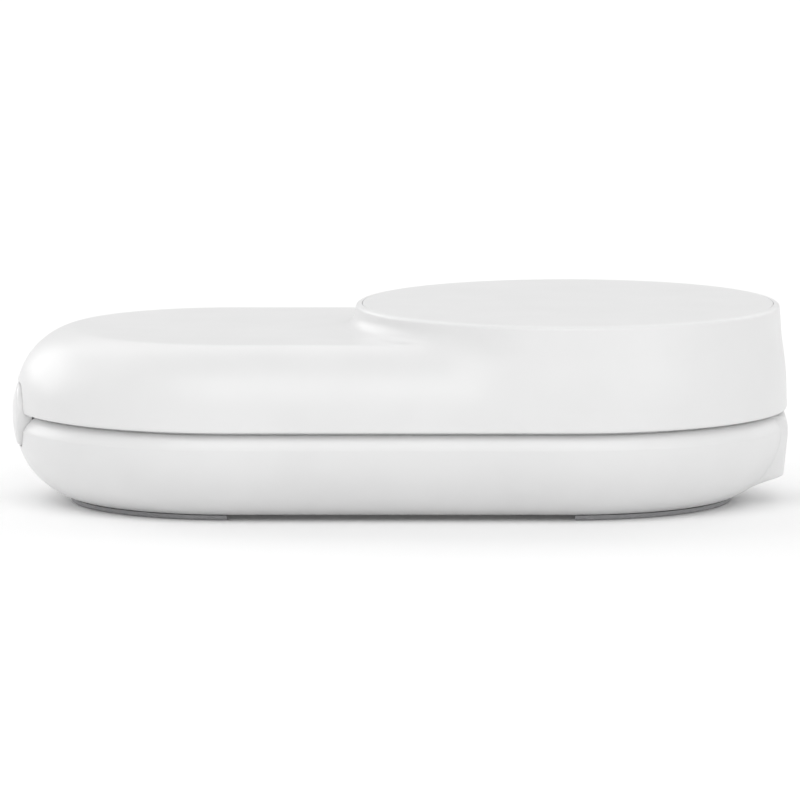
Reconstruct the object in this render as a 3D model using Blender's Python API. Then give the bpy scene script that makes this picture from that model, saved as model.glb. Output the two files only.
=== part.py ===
"""A cordless telephone lying face down on its charging base.

The base is a shallow stadium-shaped bowl closed by a cradle deck. The handset has the same outline: a
low slab with a round drum at its ear end, whose flat top is the battery cover. Its keys face down.
Lengths are in metres, +Z is up, and the origin is on the table under the middle of the object.
"""

import math

import bmesh
import bpy
from mathutils import Matrix, Vector

MM = 0.001

# Driving dimensions
OUTLINE_RADIUS = 45.3 * MM  # half the width, and the radius of both round ends
HALF_SPACING = 34.4 * MM  # from the middle of the outline to each end's centre
CENTRE_X = 0.27 * MM  # moves the outline so that it and the proud button are even about the origin
FOOT_HEIGHT = 1.03 * MM
PARTING_Z = 18.97 * MM  # the middle of the shadow gap between base and handset
PARTING_GAP = 0.6 * MM
SLAB_TOP_Z = 36.02 * MM
DRUM_TOP_Z = 40.83 * MM
WALL = 2.0 * MM
FIT = 0.3 * MM  # gap between pieces that rest on each other
TOUCH = 0.05 * MM  # gap between a screw or a flange and its seat

# Side profiles: how far the casing curves in, and the exponents of its superellipse
HANDSET_INSET, HANDSET_POWERS = 12.4 * MM, (1.61, 2.45)
BASE_INSET, BASE_POWERS = 12.2 * MM, (1.42, 2.63)
HANDSET_RIM = (0.35 * MM, 0.7 * MM)  # how far the rim at the shadow gap curves in, and over what height
BASE_RIM, BASE_RIM_POWER = (2.4 * MM, 3.2 * MM), 1.2
LIP_INSET, LIP_INNER, LIP_TOP_Z = 2.8 * MM, 3.6 * MM, 19.9 * MM  # stands up inside the handset's wall

# Round drum at the ear end, and the cover in its top
DRUM_TOP_RADIUS = 43.65 * MM
DRUM_EDGE_ROUND = 1.05 * MM
COVER_RADIUS = 42.35 * MM
COVER_SEAM = 0.15 * MM
COVER_THICKNESS = 2.0 * MM
LEDGE_THICKNESS = 1.85 * MM

# Oval locator button across the front end
BUTTON_Z = 18.5 * MM
BUTTON_HALF_WIDTH = 13.4 * MM
BUTTON_HALF_HEIGHT = 6.2 * MM
BUTTON_GROOVE = 0.4 * MM
BUTTON_PROUD = 0.55 * MM
BUTTON_DOME = 1.28 * MM
BUTTON_BACK_X = -75.5 * MM
ALCOVE_X = -73.5 * MM
STEM_Z = 14.3 * MM
STEM_RADIUS = 1.5 * MM
STEM_END_X = -69.8 * MM
OUTSIDE_X = -90.0 * MM

# Front plate of the handset, which faces down, and its keys
PLATE_INSET = 2.4 * MM
PLATE_Z = 20.3 * MM
PLATE_TOP_Z = 22.1 * MM
KEY_PROUD = 0.8 * MM
KEY_EDGE = 0.4 * MM
KEY_SLACK = 0.25 * MM
KEY_FLANGE_WIDTH, KEY_FLANGE_HEIGHT = 0.8 * MM, 0.6 * MM
KEY_SIZE, KEY_PITCH = (9.6 * MM, 16.5 * MM), (12.8 * MM, 20.5 * MM)  # along X and along Y
KEY_CORNER = 3.0 * MM
FIRST_ROW_X = -13.5 * MM
CALL_ROW_X = 3.5 * MM
CALL_KEY_Y, CALL_KEY_SIZE = 24.5 * MM, (9.6 * MM, 18.0 * MM)
NAVIGATION_SIZE = (17.0 * MM, 17.0 * MM)
WINDOW_X, WINDOW_SIZE, WINDOW_CORNER = 32.0 * MM, (30.0 * MM, 50.0 * MM), 4.0 * MM
WINDOW_THICKNESS = 1.0 * MM
VIEW_BORDER = 2.5 * MM
EARPIECE_X, EARPIECE_RADIUS = 61.0 * MM, 8.5 * MM
MICROPHONE_X = -63.5 * MM

# Cradle deck of the base
FLANGE_INSET, SPIGOT_INSET, POCKET_INSET = 3.9 * MM, 4.4 * MM, 6.5 * MM
DECK_Z, FLANGE_TOP_Z, POCKET_Z, DECK_TOP_Z = 16.8 * MM, 18.5 * MM, 18.4 * MM, 20.0 * MM
PIN_X, PIN_Y, PIN_RADIUS = -62.5 * MM, 11.0 * MM, 1.3 * MM
PAD_RADIUS = 2.6 * MM

# Rear block of the base, and its modular socket
BLOCK_HALF_WIDTH = 9.9 * MM
BLOCK_SIDE = (  # (x, z) in mm round its side, on the right from the top down and back underneath
    (60.0, 16.6),
    (79.75, 16.6),
    (79.85, 14.5),
    (79.05, 6.3),
    (78.5, 5.75),
    (75.2, 4.95),
    (71.6, 3.2),
    (60.0, 3.2),
)
SOCKET_X, SOCKET_FRONT_X = 63.5 * MM, 77.8 * MM
SOCKET_Z, SOCKET_TOP_Z = 6.5 * MM, 16.1 * MM
SOCKET_HALF_WIDTH = 7.6 * MM
MOUTH_X, MOUTH_Z, MOUTH_TOP_Z, MOUTH_HALF_WIDTH = 66.5 * MM, 7.7 * MM, 14.8 * MM, 5.1 * MM

# Feet
FOOT_RADIUS = 33.8 * MM
FOOT_FLAT_X = 35.5 * MM
FOOT_EDGE = 0.5 * MM

# Screws: (x, y) of each, head radius, shaft radius
BASE_SCREWS = [(x * MM, y * MM) for x in (-27, 27) for y in (-24, 24)]
HANDSET_SCREWS = [(x * MM, y * MM) for x, y in ((14.7, -31), (14.7, 31), (58.7, -24), (58.7, 24))]
HEAD_RADIUS, SHAFT_RADIUS, SCREW_SLACK = 2.6 * MM, 1.2 * MM, 0.25 * MM

# Batteries, side by side in a tray under the cover
CELL_RADIUS, CELL_LENGTH, CELL_PITCH = 5.2 * MM, 44.5 * MM, 11.2 * MM
TRAY_Z, TRAY_TOP_Z = 26.0 * MM, 36.8 * MM
TRAY_SIZE, TRAY_WALL = (37.0 * MM, 48.0 * MM), 1.0 * MM

CASING_BOSS_RADIUS, PLATE_BOSS_RADIUS = 3.6 * MM, 3.0 * MM
FLOOR_BOSS_RADIUS, DECK_BOSS_RADIUS = 4.2 * MM, 3.4 * MM
HEAD_HEIGHT, SHAFT_LENGTH = 1.5 * MM, 9.0 * MM
BASE_HEAD_Z, HANDSET_HEAD_Z = 2.85 * MM, 36.55 * MM  # the inner face of each head
CROSS_HALF_LENGTH, CROSS_HALF_WIDTH, CROSS_DEPTH = 1.5 * MM, 0.35 * MM, 0.8 * MM

# Plain inner parts: the lowest and highest corner in mm, and the kind of material
INNER_BLOCKS = {
    "ballast_plate": ((-20, -18, 3.1), (58, 18, 6.0), "steel"),
    "base_board": ((-69.2, -14, 8.0), (59.7, 14, 9.6), "board"),
    "base_radio_shield": ((26, -11, 9.65), (50, 11, 13), "steel"),
    "locator_switch": ((-68.9, -3, 9.65), (-66.1, 3, 16.5), "dark"),
    "display_module": ((15.5, -26.5, 22.15), (48.5, 26.5, 24.2), "dark"),
    "handset_board": ((-60, -19, 24.4), (50, 19, 25.6), "board"),
    "handset_radio_shield": ((-18, -12, 25.65), (6, 12, 28.6), "steel"),
}
CONTACT_BLOCK = ((-65.7, -14.5, 10.5), (-59.3, 14.5, 16.5))
PIN_Z = 13.0 * MM
BOARD_POST_X, BOARD_POST_RADIUS = 20.0 * MM, 2.0 * MM
BOARD_TOP_Z = 9.65 * MM
MAT_CENTRE, MAT_SIZE, MAT_CORNER = (-24.0 * MM, 0.0), (74.0 * MM, 64.0 * MM), 20.0 * MM
MAT_Z, MAT_TOP_Z = 23.7 * MM, 24.3 * MM

# Smoothness of the round stretches
ARC_STEPS = 18
STRAIGHT_STEPS = 4
PROFILE_STEPS = 6
SMALL_ROUND = 12

SLAB_END_X = CENTRE_X - HALF_SPACING
DRUM_X = CENTRE_X + HALF_SPACING

COLOURS = {  # linear RGB, roughness, metallic
    "casing": ((0.80, 0.80, 0.80), 0.35, 0.0),
    "foot": ((0.36, 0.36, 0.37), 0.75, 0.0),
    "key": ((0.72, 0.73, 0.74), 0.45, 0.0),
    "dark": ((0.03, 0.03, 0.035), 0.5, 0.0),
    "board": ((0.02, 0.14, 0.06), 0.5, 0.0),
    "steel": ((0.55, 0.55, 0.56), 0.35, 1.0),
    "gold": ((0.83, 0.62, 0.25), 0.3, 1.0),
    "mat": ((0.30, 0.31, 0.32), 0.8, 0.0),
    "cell": ((0.10, 0.32, 0.20), 0.4, 0.0),
    "window": ((0.02, 0.025, 0.03), 0.08, 0.0),
}


def material(name, kind):
    """A sub-part's own material, coloured by its kind."""
    colour, roughness, metallic = COLOURS[kind]
    made = bpy.data.materials.new(name)
    made.use_nodes = True
    shader = made.node_tree.nodes["Principled BSDF"]
    shader.inputs["Base Color"].default_value = (*colour, 1.0)
    shader.inputs["Roughness"].default_value = roughness
    shader.inputs["Metallic"].default_value = metallic
    return made


def collection(name, hidden=False):
    found = bpy.data.collections.get(name)
    if found is None:
        found = bpy.data.collections.new(name)
        found.hide_render = hidden
        bpy.context.scene.collection.children.link(found)
    return found


def finish(name, bm, kind=None):
    """Makes an object of bm: a sub-part if it has a kind of material, or else a hidden cutter."""
    bmesh.ops.remove_doubles(bm, verts=bm.verts, dist=1e-6)
    bmesh.ops.recalc_face_normals(bm, faces=bm.faces)
    data = bpy.data.meshes.new(name)
    bm.to_mesh(data)
    bm.free()
    made = bpy.data.objects.new(name, data)
    if kind:
        data.materials.append(material(name, kind))
        collection("cordless_phone").objects.link(made)
    else:
        made.hide_render = True
        made.display_type = "WIRE"
        collection("cutters", hidden=True).objects.link(made)
    return made


def loft(name, rings, kind=None):
    """A closed solid through rings of equally many points."""
    bm = bmesh.new()
    rows = [[bm.verts.new(point) for point in ring] for ring in rings]
    count = len(rows[0])
    for low, high in zip(rows, rows[1:]):
        for i in range(count):
            j = (i + 1) % count
            bm.faces.new((low[i], low[j], high[j], high[i]))
    bm.faces.new(list(reversed(rows[0])))
    bm.faces.new(rows[-1])
    return finish(name, bm, kind)


def box(name, low, high, kind=None):
    bm = bmesh.new()
    bmesh.ops.create_cube(bm, size=1.0)
    low, high = Vector(low), Vector(high)
    bmesh.ops.scale(bm, vec=high - low, verts=bm.verts)
    bmesh.ops.translate(bm, vec=(low + high) / 2, verts=bm.verts)
    return finish(name, bm, kind)


def block_of(name, corners, kind=None):
    """A box between two corners given in mm."""
    low, high = (Vector(corner) * MM for corner in corners)
    return box(name, low, high, kind)


def cylinder(name, start, radius, length, axis="Z", kind=None, sides=SMALL_ROUND):
    """A cylinder from the point start along +axis."""
    bm = bmesh.new()
    bmesh.ops.create_cone(bm, cap_ends=True, segments=sides, radius1=radius, radius2=radius, depth=length)
    bmesh.ops.translate(bm, vec=(0, 0, length / 2), verts=bm.verts)
    turn_axis, degrees = {"X": ("Y", 90), "Y": ("X", -90), "Z": ("Z", 0)}[axis]
    bmesh.ops.rotate(
        bm, matrix=Matrix.Rotation(math.radians(degrees), 3, turn_axis), verts=bm.verts
    )
    bmesh.ops.translate(bm, vec=start, verts=bm.verts)
    return finish(name, bm, kind)


def combine(obj, operation, others):
    for other in others:
        made = obj.modifiers.new(f"{operation.lower()}_{other.name}", "BOOLEAN")
        made.operation = operation
        made.object = other
        made.solver = "EXACT"
    return obj


def cut(obj, *cutters):
    return combine(obj, "DIFFERENCE", cutters)


def join(obj, *others):
    return combine(obj, "UNION", others)


def arc(x, y, radius, start, end, steps):
    """Points on an arc, with both ends, for angles in degrees."""
    for i in range(steps + 1):
        angle = math.radians(start + (end - start) * i / steps)
        yield x + radius * math.cos(angle), y + radius * math.sin(angle)


def at_height(points, z):
    return [(x, y, z) for x, y in points]


def stadium(inset):
    """The object's outline, moved in by inset."""
    radius = OUTLINE_RADIUS - inset
    right = arc(DRUM_X, 0, radius, -90, 90, ARC_STEPS)
    left = arc(SLAB_END_X, 0, radius, 90, 270, ARC_STEPS)
    return [*right, *left]


def rounded_rectangle(centre, size, corner, steps=2):
    dx, dy = size[0] / 2 - corner, size[1] / 2 - corner
    quarters = ((dx, dy, 0), (-dx, dy, 90), (-dx, -dy, 180), (dx, -dy, 270))
    return [
        point
        for x, y, start in quarters
        for point in arc(centre[0] + x, centre[1] + y, corner, start, start + 90, steps)
    ]


def prism(name, outline, low, high, kind=None):
    return loft(name, [at_height(outline, low), at_height(outline, high)], kind)


def superellipse(inset, height, powers):
    """(inset, height) along a side profile, from its widest point to its flat end."""
    for i in range(PROFILE_STEPS + 1):
        angle = math.pi / 2 * i / PROFILE_STEPS
        across = max(math.cos(angle), 0.0) ** (2 / powers[0])
        yield inset * (1 - across), height * math.sin(angle) ** (2 / powers[1])


def rounded_rim(inward, along, steps=2, power=2.0):
    """(inward, along) of points round an edge, from its flat to its side. A power of 1 is a chamfer."""
    for i in range(steps + 1):
        angle = math.pi / 2 * i / steps
        up, across = (max(part(angle), 0.0) ** (2 / power) for part in (math.sin, math.cos))
        yield inward * (1 - up), along * (1 - across)


def drum_radius(z):
    """The drum's wall leans in evenly towards its top."""
    share = (z - PARTING_Z) / (DRUM_TOP_Z - PARTING_Z)
    return OUTLINE_RADIUS + (DRUM_TOP_RADIUS - OUTLINE_RADIUS) * share


def handset_ring(slab_radius, round_radius, z, drum_only=False):
    """The handset's outline at height z: the slab's stadium merged with the drum's circle.

    With drum_only, the points of the slab's stretch go round the rest of the drum's circle instead.
    """
    meeting = 180 - math.degrees(math.asin(min(1.0, slab_radius / round_radius)))
    points = list(arc(DRUM_X, 0, round_radius, -meeting, meeting, 2 * ARC_STEPS))
    if drum_only:
        steps = 2 * STRAIGHT_STEPS + ARC_STEPS
        points += list(arc(DRUM_X, 0, round_radius, meeting, 360 - meeting, steps))[1:-1]
        return at_height(points, z)
    edge_x = points[-1][0]
    shares = [i / STRAIGHT_STEPS for i in range(1, STRAIGHT_STEPS)]
    straight = [edge_x + (SLAB_END_X - edge_x) * share for share in shares]
    points += [(x, slab_radius) for x in straight]
    points += arc(SLAB_END_X, 0, slab_radius, 90, 270, ARC_STEPS)
    points += [(x, -slab_radius) for x in reversed(straight)]
    return at_height(points, z)


def handset_rings(offset, slab_top, drum_top):
    """Rings of the handset's casing above its rim, moved in by offset."""
    rings = []
    for inset, up in superellipse(HANDSET_INSET, slab_top - PARTING_Z, HANDSET_POWERS):
        if up > 0:
            z = PARTING_Z + up
            rings.append(handset_ring(OUTLINE_RADIUS - inset - offset, drum_radius(z) - offset, z))
    slab_radius = OUTLINE_RADIUS - HANDSET_INSET - offset
    for z in (slab_top, drum_top):
        rings.append(handset_ring(slab_radius, drum_radius(z) - offset, z, drum_only=True))
    return rings


def handset_solid(name, kind=None):
    """The handset's casing before it is hollowed."""
    low = PARTING_Z + PARTING_GAP / 2
    rim = [
        handset_ring(OUTLINE_RADIUS - inward, OUTLINE_RADIUS - inward, low + up)
        for inward, up in rounded_rim(*HANDSET_RIM)
    ]
    rings = handset_rings(0.0, SLAB_TOP_Z, DRUM_TOP_Z - DRUM_EDGE_ROUND)
    slab_radius = OUTLINE_RADIUS - HANDSET_INSET
    edge = [
        handset_ring(slab_radius, DRUM_TOP_RADIUS - inward, DRUM_TOP_Z - down, drum_only=True)
        for inward, down in rounded_rim(DRUM_EDGE_ROUND, DRUM_EDGE_ROUND)
    ]
    return loft(name, rim + rings + edge[1::-1], kind)


def base_rings(offset, bottom, clear=0.0):
    """Rings of the base's bowl from its flat bottom to below its rim by clear, moved in by offset."""
    side = list(superellipse(BASE_INSET, PARTING_Z - bottom, BASE_POWERS))
    return [
        at_height(stadium(inset + offset), PARTING_Z - down)
        for inset, down in reversed(side)
        if down > clear
    ]


def base_solid(name, kind=None):
    """The base's bowl before it is hollowed."""
    high = PARTING_Z - PARTING_GAP / 2
    rim = [
        at_height(stadium(inward), high - down)
        for inward, down in rounded_rim(*BASE_RIM, steps=4, power=BASE_RIM_POWER)
    ]
    side = base_rings(0.0, FOOT_HEIGHT, clear=PARTING_GAP / 2 + BASE_RIM[1])
    return loft(name, side + rim[::-1], kind)


def pill(name, wider, x_from, x_to):
    """A cutter along X in the locator button's oval shape, wider all round."""
    return loft(name, [button_ring(x, wider) for x in (x_from, x_to)])


def button_ring(x, wider=0.0, scale=1.0):
    straight = BUTTON_HALF_WIDTH - BUTTON_HALF_HEIGHT
    radius = BUTTON_HALF_HEIGHT + wider
    ends = (*arc(straight, 0, radius, -90, 90, 8), *arc(-straight, 0, radius, 90, 270, 8))
    return [(x, y * scale, BUTTON_Z + z * scale) for y, z in ends]


def leave_alcove_wall(hollow):
    """Keeps a wall round the locator button's alcove when this hollow is cut out of a casing."""
    cut(hollow, pill(f"{hollow.name}_alcove_wall", BUTTON_GROOVE + WALL, OUTSIDE_X, ALCOVE_X + WALL))


def make_handset_back():
    back = handset_solid("handset_back", "casing")
    rebate = prism("lip_rebate", stadium(LIP_INSET - FIT), PARTING_Z, LIP_TOP_Z + FIT)
    cut(rebate, prism("rebate_core", stadium(LIP_INNER + FIT), PARTING_Z - FIT, LIP_TOP_Z + 2 * FIT))
    low = handset_ring(OUTLINE_RADIUS - WALL, OUTLINE_RADIUS - WALL, PARTING_Z - FIT)
    ledge_bottom = DRUM_TOP_Z - COVER_THICKNESS - LEDGE_THICKNESS
    hollow = loft("handset_hollow", [low] + handset_rings(WALL, SLAB_TOP_Z - WALL, ledge_bottom))
    leave_alcove_wall(hollow)
    alcove = pill("handset_alcove", BUTTON_GROOVE, OUTSIDE_X, ALCOVE_X)
    half_width = BUTTON_HALF_WIDTH + BUTTON_GROOVE
    below = box(
        "handset_alcove_below",
        (OUTSIDE_X, -half_width, FOOT_HEIGHT),
        (ALCOVE_X, half_width, BUTTON_Z + FIT),
    )
    recess = cylinder(
        "cover_recess",
        (DRUM_X, 0, DRUM_TOP_Z - COVER_THICKNESS),
        COVER_RADIUS + COVER_SEAM,
        COVER_THICKNESS + FIT,
        sides=4 * ARC_STEPS,
    )
    bay_size = [side - 2 * TRAY_WALL for side in TRAY_SIZE]
    bay_outline = rounded_rectangle((DRUM_X, 0), bay_size, 2 * TRAY_WALL)
    bay = prism("battery_bay", bay_outline, ledge_bottom - FIT, DRUM_TOP_Z - FIT)
    cut(back, hollow, rebate, alcove, below, recess, bay)
    for i, (x, y) in enumerate(HANDSET_SCREWS):
        boss_z = HANDSET_HEAD_Z - TOUCH - WALL
        boss_height = 2 * WALL
        boss = cylinder(f"casing_boss_{i}", (x, y, boss_z - TOUCH), CASING_BOSS_RADIUS, boss_height)
        join(back, boss)
        seat_z = HANDSET_HEAD_Z - TOUCH
        seat = cylinder(f"head_seat_{i}", (x, y, seat_z), HEAD_RADIUS + FIT, 2 * HEAD_HEIGHT)
        hole_start = (x, y, boss_z - 4 * FIT)
        hole = cylinder(f"casing_hole_{i}", hole_start, SHAFT_RADIUS + SCREW_SLACK, boss_height)
        cut(back, seat, hole)


def make_battery_cover():
    low = DRUM_TOP_Z - COVER_THICKNESS + TOUCH
    outline = list(arc(DRUM_X, 0, COVER_RADIUS, 0, 360, 4 * ARC_STEPS))[:-1]
    prism("battery_cover", outline, low, DRUM_TOP_Z, "casing")


def make_battery_tray():
    outer = rounded_rectangle((DRUM_X, 0), TRAY_SIZE, 3 * TRAY_WALL)
    inner = rounded_rectangle((DRUM_X, 0), [s - 2 * TRAY_WALL for s in TRAY_SIZE], 2 * TRAY_WALL)
    tray = prism("battery_tray", outer, TRAY_Z, TRAY_TOP_Z, "dark")
    cut(tray, prism("tray_hollow", inner, TRAY_Z + TRAY_WALL, TRAY_TOP_Z + FIT))
    for i in range(3):
        x = DRUM_X + (i - 1) * CELL_PITCH
        z = TRAY_Z + TRAY_WALL + CELL_RADIUS + FIT
        cylinder(
            f"battery_cell_{i + 1}", (x, -CELL_LENGTH / 2, z), CELL_RADIUS, CELL_LENGTH, "Y", "cell"
        )


def make_key(name, plate, centre, size, corner):
    """A key through the front plate, with a flange that keeps it in, and its hole."""
    def ring(wider, z):
        grown = [side + 2 * wider for side in size]
        return at_height(rounded_rectangle(centre, grown, corner + wider), z)

    flange_z = PLATE_TOP_Z + TOUCH
    rings = [
        ring(-KEY_EDGE, PLATE_Z - KEY_PROUD),
        ring(0.0, PLATE_Z - KEY_PROUD + KEY_EDGE),
        ring(0.0, flange_z),
        ring(KEY_FLANGE_WIDTH, flange_z),
        ring(KEY_FLANGE_WIDTH, flange_z + KEY_FLANGE_HEIGHT),
    ]
    loft(name, rings, "key")
    hole = [ring(KEY_SLACK, z) for z in (PLATE_Z - FIT, PLATE_TOP_Z + FIT)]
    cut(plate, loft(f"{name}_hole", hole))


def make_keys(plate):
    digits = ("1", "2", "3", "4", "5", "6", "7", "8", "9", "star", "0", "hash")
    for i, digit in enumerate(digits):
        row, column = divmod(i, 3)
        centre = (FIRST_ROW_X - row * KEY_PITCH[0], (column - 1) * KEY_PITCH[1])
        make_key(f"key_{digit}", plate, centre, KEY_SIZE, KEY_CORNER)
    make_key("talk_key", plate, (CALL_ROW_X, -CALL_KEY_Y), CALL_KEY_SIZE, KEY_CORNER)
    make_key("end_key", plate, (CALL_ROW_X, CALL_KEY_Y), CALL_KEY_SIZE, KEY_CORNER)
    round_corner = NAVIGATION_SIZE[0] / 2 - TOUCH
    make_key("navigation_key", plate, (CALL_ROW_X, 0), NAVIGATION_SIZE, round_corner)


def make_window(plate):
    """The display's window, in a shallow recess that opens onto the display module."""
    def outline(wider):
        return rounded_rectangle((WINDOW_X, 0), [s + 2 * wider for s in WINDOW_SIZE], WINDOW_CORNER)

    seat_z = PLATE_Z + WINDOW_THICKNESS + TOUCH
    cut(plate, prism("window_recess", outline(FIT / 2), PLATE_Z - FIT, seat_z))
    cut(plate, prism("view_opening", outline(-VIEW_BORDER), PLATE_Z, PLATE_TOP_Z + FIT))
    prism("display_window", outline(0.0), PLATE_Z, PLATE_Z + WINDOW_THICKNESS, "window")


def make_front_plate():
    plate = prism("front_plate", stadium(PLATE_INSET), PLATE_Z, PLATE_TOP_Z, "casing")
    for i, (x, y) in enumerate(HANDSET_SCREWS):
        boss_start = (x, y, PLATE_TOP_Z - FIT)
        join(plate, cylinder(f"plate_boss_{i}", boss_start, PLATE_BOSS_RADIUS, 12.1 * MM))
        radius = SHAFT_RADIUS + SCREW_SLACK
        cut(plate, cylinder(f"plate_bore_{i}", (x, y, 26.0 * MM), radius, 12.0 * MM))
    cut(plate, pill("plate_notch", BUTTON_GROOVE + WALL + FIT, OUTSIDE_X, ALCOVE_X + WALL + FIT))
    make_keys(plate)
    make_window(plate)
    slot_length = 9.0 * MM
    for i in range(3):
        x = EARPIECE_X + (i - 1) * 3.0 * MM
        slot = rounded_rectangle((x, 0), (1.4 * MM, slot_length), 0.6 * MM)
        cut(plate, prism(f"ear_slot_{i}", slot, PLATE_Z - FIT, PLATE_TOP_Z + FIT))
    cut(plate, cylinder("voice_hole", (MICROPHONE_X, 0, PLATE_Z - FIT), 0.8 * MM, 3 * MM))
    for side, y in (("left", -PIN_Y), ("right", PIN_Y)):
        hole = cylinder(f"pad_hole_{side}", (PIN_X, y, PLATE_Z - FIT), PAD_RADIUS + FIT, 3 * MM)
        cut(plate, hole)
        start = (PIN_X, y, PLATE_Z)
        cylinder(f"charge_pad_{side}", start, PAD_RADIUS, 2.0 * MM, kind="gold")


def make_handset_inside():
    mat_outline = rounded_rectangle(MAT_CENTRE, MAT_SIZE, MAT_CORNER)
    prism("keypad_mat", mat_outline, MAT_Z, MAT_TOP_Z, "mat")
    ear = (EARPIECE_X, 0, PLATE_TOP_Z + TOUCH)
    cylinder("earpiece", ear, EARPIECE_RADIUS, 3.4 * MM, kind="dark", sides=2 * SMALL_ROUND)
    voice = (MICROPHONE_X, 0, PLATE_TOP_Z + TOUCH)
    cylinder("microphone", voice, 2.8 * MM, 1.5 * MM, kind="steel")


def make_base_shell():
    shell = base_solid("base_shell", "casing")
    hollow_rings = base_rings(WALL, FOOT_HEIGHT + WALL, clear=PARTING_Z - DECK_Z + FIT)
    rim_z = PARTING_Z - PARTING_GAP / 2
    hollow_rings += [at_height(stadium(LIP_INNER), z) for z in (DECK_Z, rim_z + FIT)]
    hollow = loft("base_hollow", hollow_rings)
    lip_inside = prism("lip_inside", stadium(LIP_INNER), rim_z, LIP_TOP_Z + FIT)
    half = BLOCK_HALF_WIDTH
    sides = [[(x * MM, y, z * MM) for x, z in BLOCK_SIDE] for y in (-half, half)]
    block = loft("rear_block", sides)
    chamber = box(
        "socket_chamber",
        (SOCKET_X - 8.0 * MM, -SOCKET_HALF_WIDTH - FIT, SOCKET_Z - FIT),
        (SOCKET_FRONT_X + TOUCH, SOCKET_HALF_WIDTH + FIT, SOCKET_TOP_Z + FIT),
    )
    mouth = box(
        "socket_opening",
        (MOUTH_X, -MOUTH_HALF_WIDTH - FIT, MOUTH_Z - FIT),
        (90.0 * MM, MOUTH_HALF_WIDTH + FIT, MOUTH_TOP_Z + FIT),
    )
    join(shell, prism("lip", stadium(LIP_INSET), DECK_Z, LIP_TOP_Z), block)
    leave_alcove_wall(hollow)
    cut(shell, hollow, lip_inside)
    stem_hole = cylinder(
        "stem_hole", (ALCOVE_X - FIT, 0, STEM_Z), STEM_RADIUS + SCREW_SLACK, WALL + 3 * FIT, "X"
    )
    cut(shell, pill("base_alcove", BUTTON_GROOVE, OUTSIDE_X, ALCOVE_X), stem_hole, chamber, mouth)
    for i, (x, y) in enumerate(BASE_SCREWS):
        join(shell, cylinder(f"floor_boss_{i}", (x, y, 2.5 * MM), FLOOR_BOSS_RADIUS, 2.5 * MM))
        seat = cylinder(f"floor_seat_{i}", (x, y, 0.5 * MM), HEAD_RADIUS + FIT, 2.4 * MM)
        hole = cylinder(f"floor_hole_{i}", (x, y, 2.0 * MM), SHAFT_RADIUS + SCREW_SLACK, 4.0 * MM)
        cut(shell, seat, hole)


def make_deck():
    rings = [
        at_height(stadium(FLANGE_INSET), DECK_Z),
        at_height(stadium(FLANGE_INSET), FLANGE_TOP_Z),
        at_height(stadium(SPIGOT_INSET), FLANGE_TOP_Z),
        at_height(stadium(SPIGOT_INSET), DECK_TOP_Z),
    ]
    deck = loft("cradle_deck", rings, "casing")
    cut(deck, prism("deck_pocket", stadium(POCKET_INSET), POCKET_Z, DECK_TOP_Z + FIT))
    cut(deck, pill("deck_notch", BUTTON_GROOVE + WALL + FIT, OUTSIDE_X, ALCOVE_X + WALL + FIT))
    for i, (x, y) in enumerate(BASE_SCREWS):
        join(deck, cylinder(f"deck_boss_{i}", (x, y, 5.3 * MM), DECK_BOSS_RADIUS, 12.0 * MM))
        cut(deck, cylinder(f"deck_bore_{i}", (x, y, 5.0 * MM), SHAFT_RADIUS + SCREW_SLACK, 8.0 * MM))
    post_height = DECK_Z + FIT - BOARD_TOP_Z
    for i, x in enumerate((-BOARD_POST_X, BOARD_POST_X)):
        join(deck, cylinder(f"board_post_{i}", (x, 0, BOARD_TOP_Z), BOARD_POST_RADIUS, post_height))
    for side, y in (("left", -PIN_Y), ("right", PIN_Y)):
        radius = PIN_RADIUS + SCREW_SLACK
        cut(deck, cylinder(f"pin_hole_{side}", (PIN_X, y, DECK_Z - FIT), radius, 4.0 * MM))


def make_charge_contacts():
    """Two sprung pins in a block under the deck."""
    block = block_of("charge_contact_block", CONTACT_BLOCK, "dark")
    for side, y in (("left", -PIN_Y), ("right", PIN_Y)):
        radius = PIN_RADIUS + SCREW_SLACK
        cut(block, cylinder(f"pin_bore_{side}", (PIN_X, y, 11.5 * MM), radius, 6.0 * MM))
        length = PLATE_Z - TOUCH - PIN_Z
        cylinder(f"charge_pin_{side}", (PIN_X, y, PIN_Z), PIN_RADIUS, length, kind="gold")


def make_locator_button():
    tip_x = SLAB_END_X - OUTLINE_RADIUS - BUTTON_PROUD
    rings = [button_ring(BUTTON_BACK_X), button_ring(tip_x + BUTTON_DOME)]
    for share in (0.94, 0.8, 0.55, 0.25):
        rings.append(button_ring(tip_x + BUTTON_DOME * share**2, scale=share))
    button = loft("locator_button", rings, "casing")
    start = (BUTTON_BACK_X - FIT, 0, STEM_Z)
    join(button, cylinder("stem", start, STEM_RADIUS, STEM_END_X - start[0], "X"))
    collar = (ALCOVE_X + WALL + FIT, 0, STEM_Z)
    join(button, cylinder("stem_collar", collar, STEM_RADIUS + 2 * FIT, 1.0 * MM, "X"))


def make_inner_blocks():
    for name, (low, high, kind) in INNER_BLOCKS.items():
        block_of(name, (low, high), kind)


def make_socket():
    socket = box(
        "line_socket",
        (SOCKET_X, -SOCKET_HALF_WIDTH, SOCKET_Z),
        (SOCKET_FRONT_X, SOCKET_HALF_WIDTH, SOCKET_TOP_Z),
        "dark",
    )
    low = (MOUTH_X, -MOUTH_HALF_WIDTH, MOUTH_Z)
    cut(socket, box("socket_mouth", low, (90 * MM, MOUTH_HALF_WIDTH, MOUTH_TOP_Z)))
    latch = (MOUTH_X, -3.0 * MM, MOUTH_Z - 0.8 * MM)
    cut(socket, box("latch_slot", latch, (90 * MM, 3.0 * MM, MOUTH_Z + FIT)))


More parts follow.
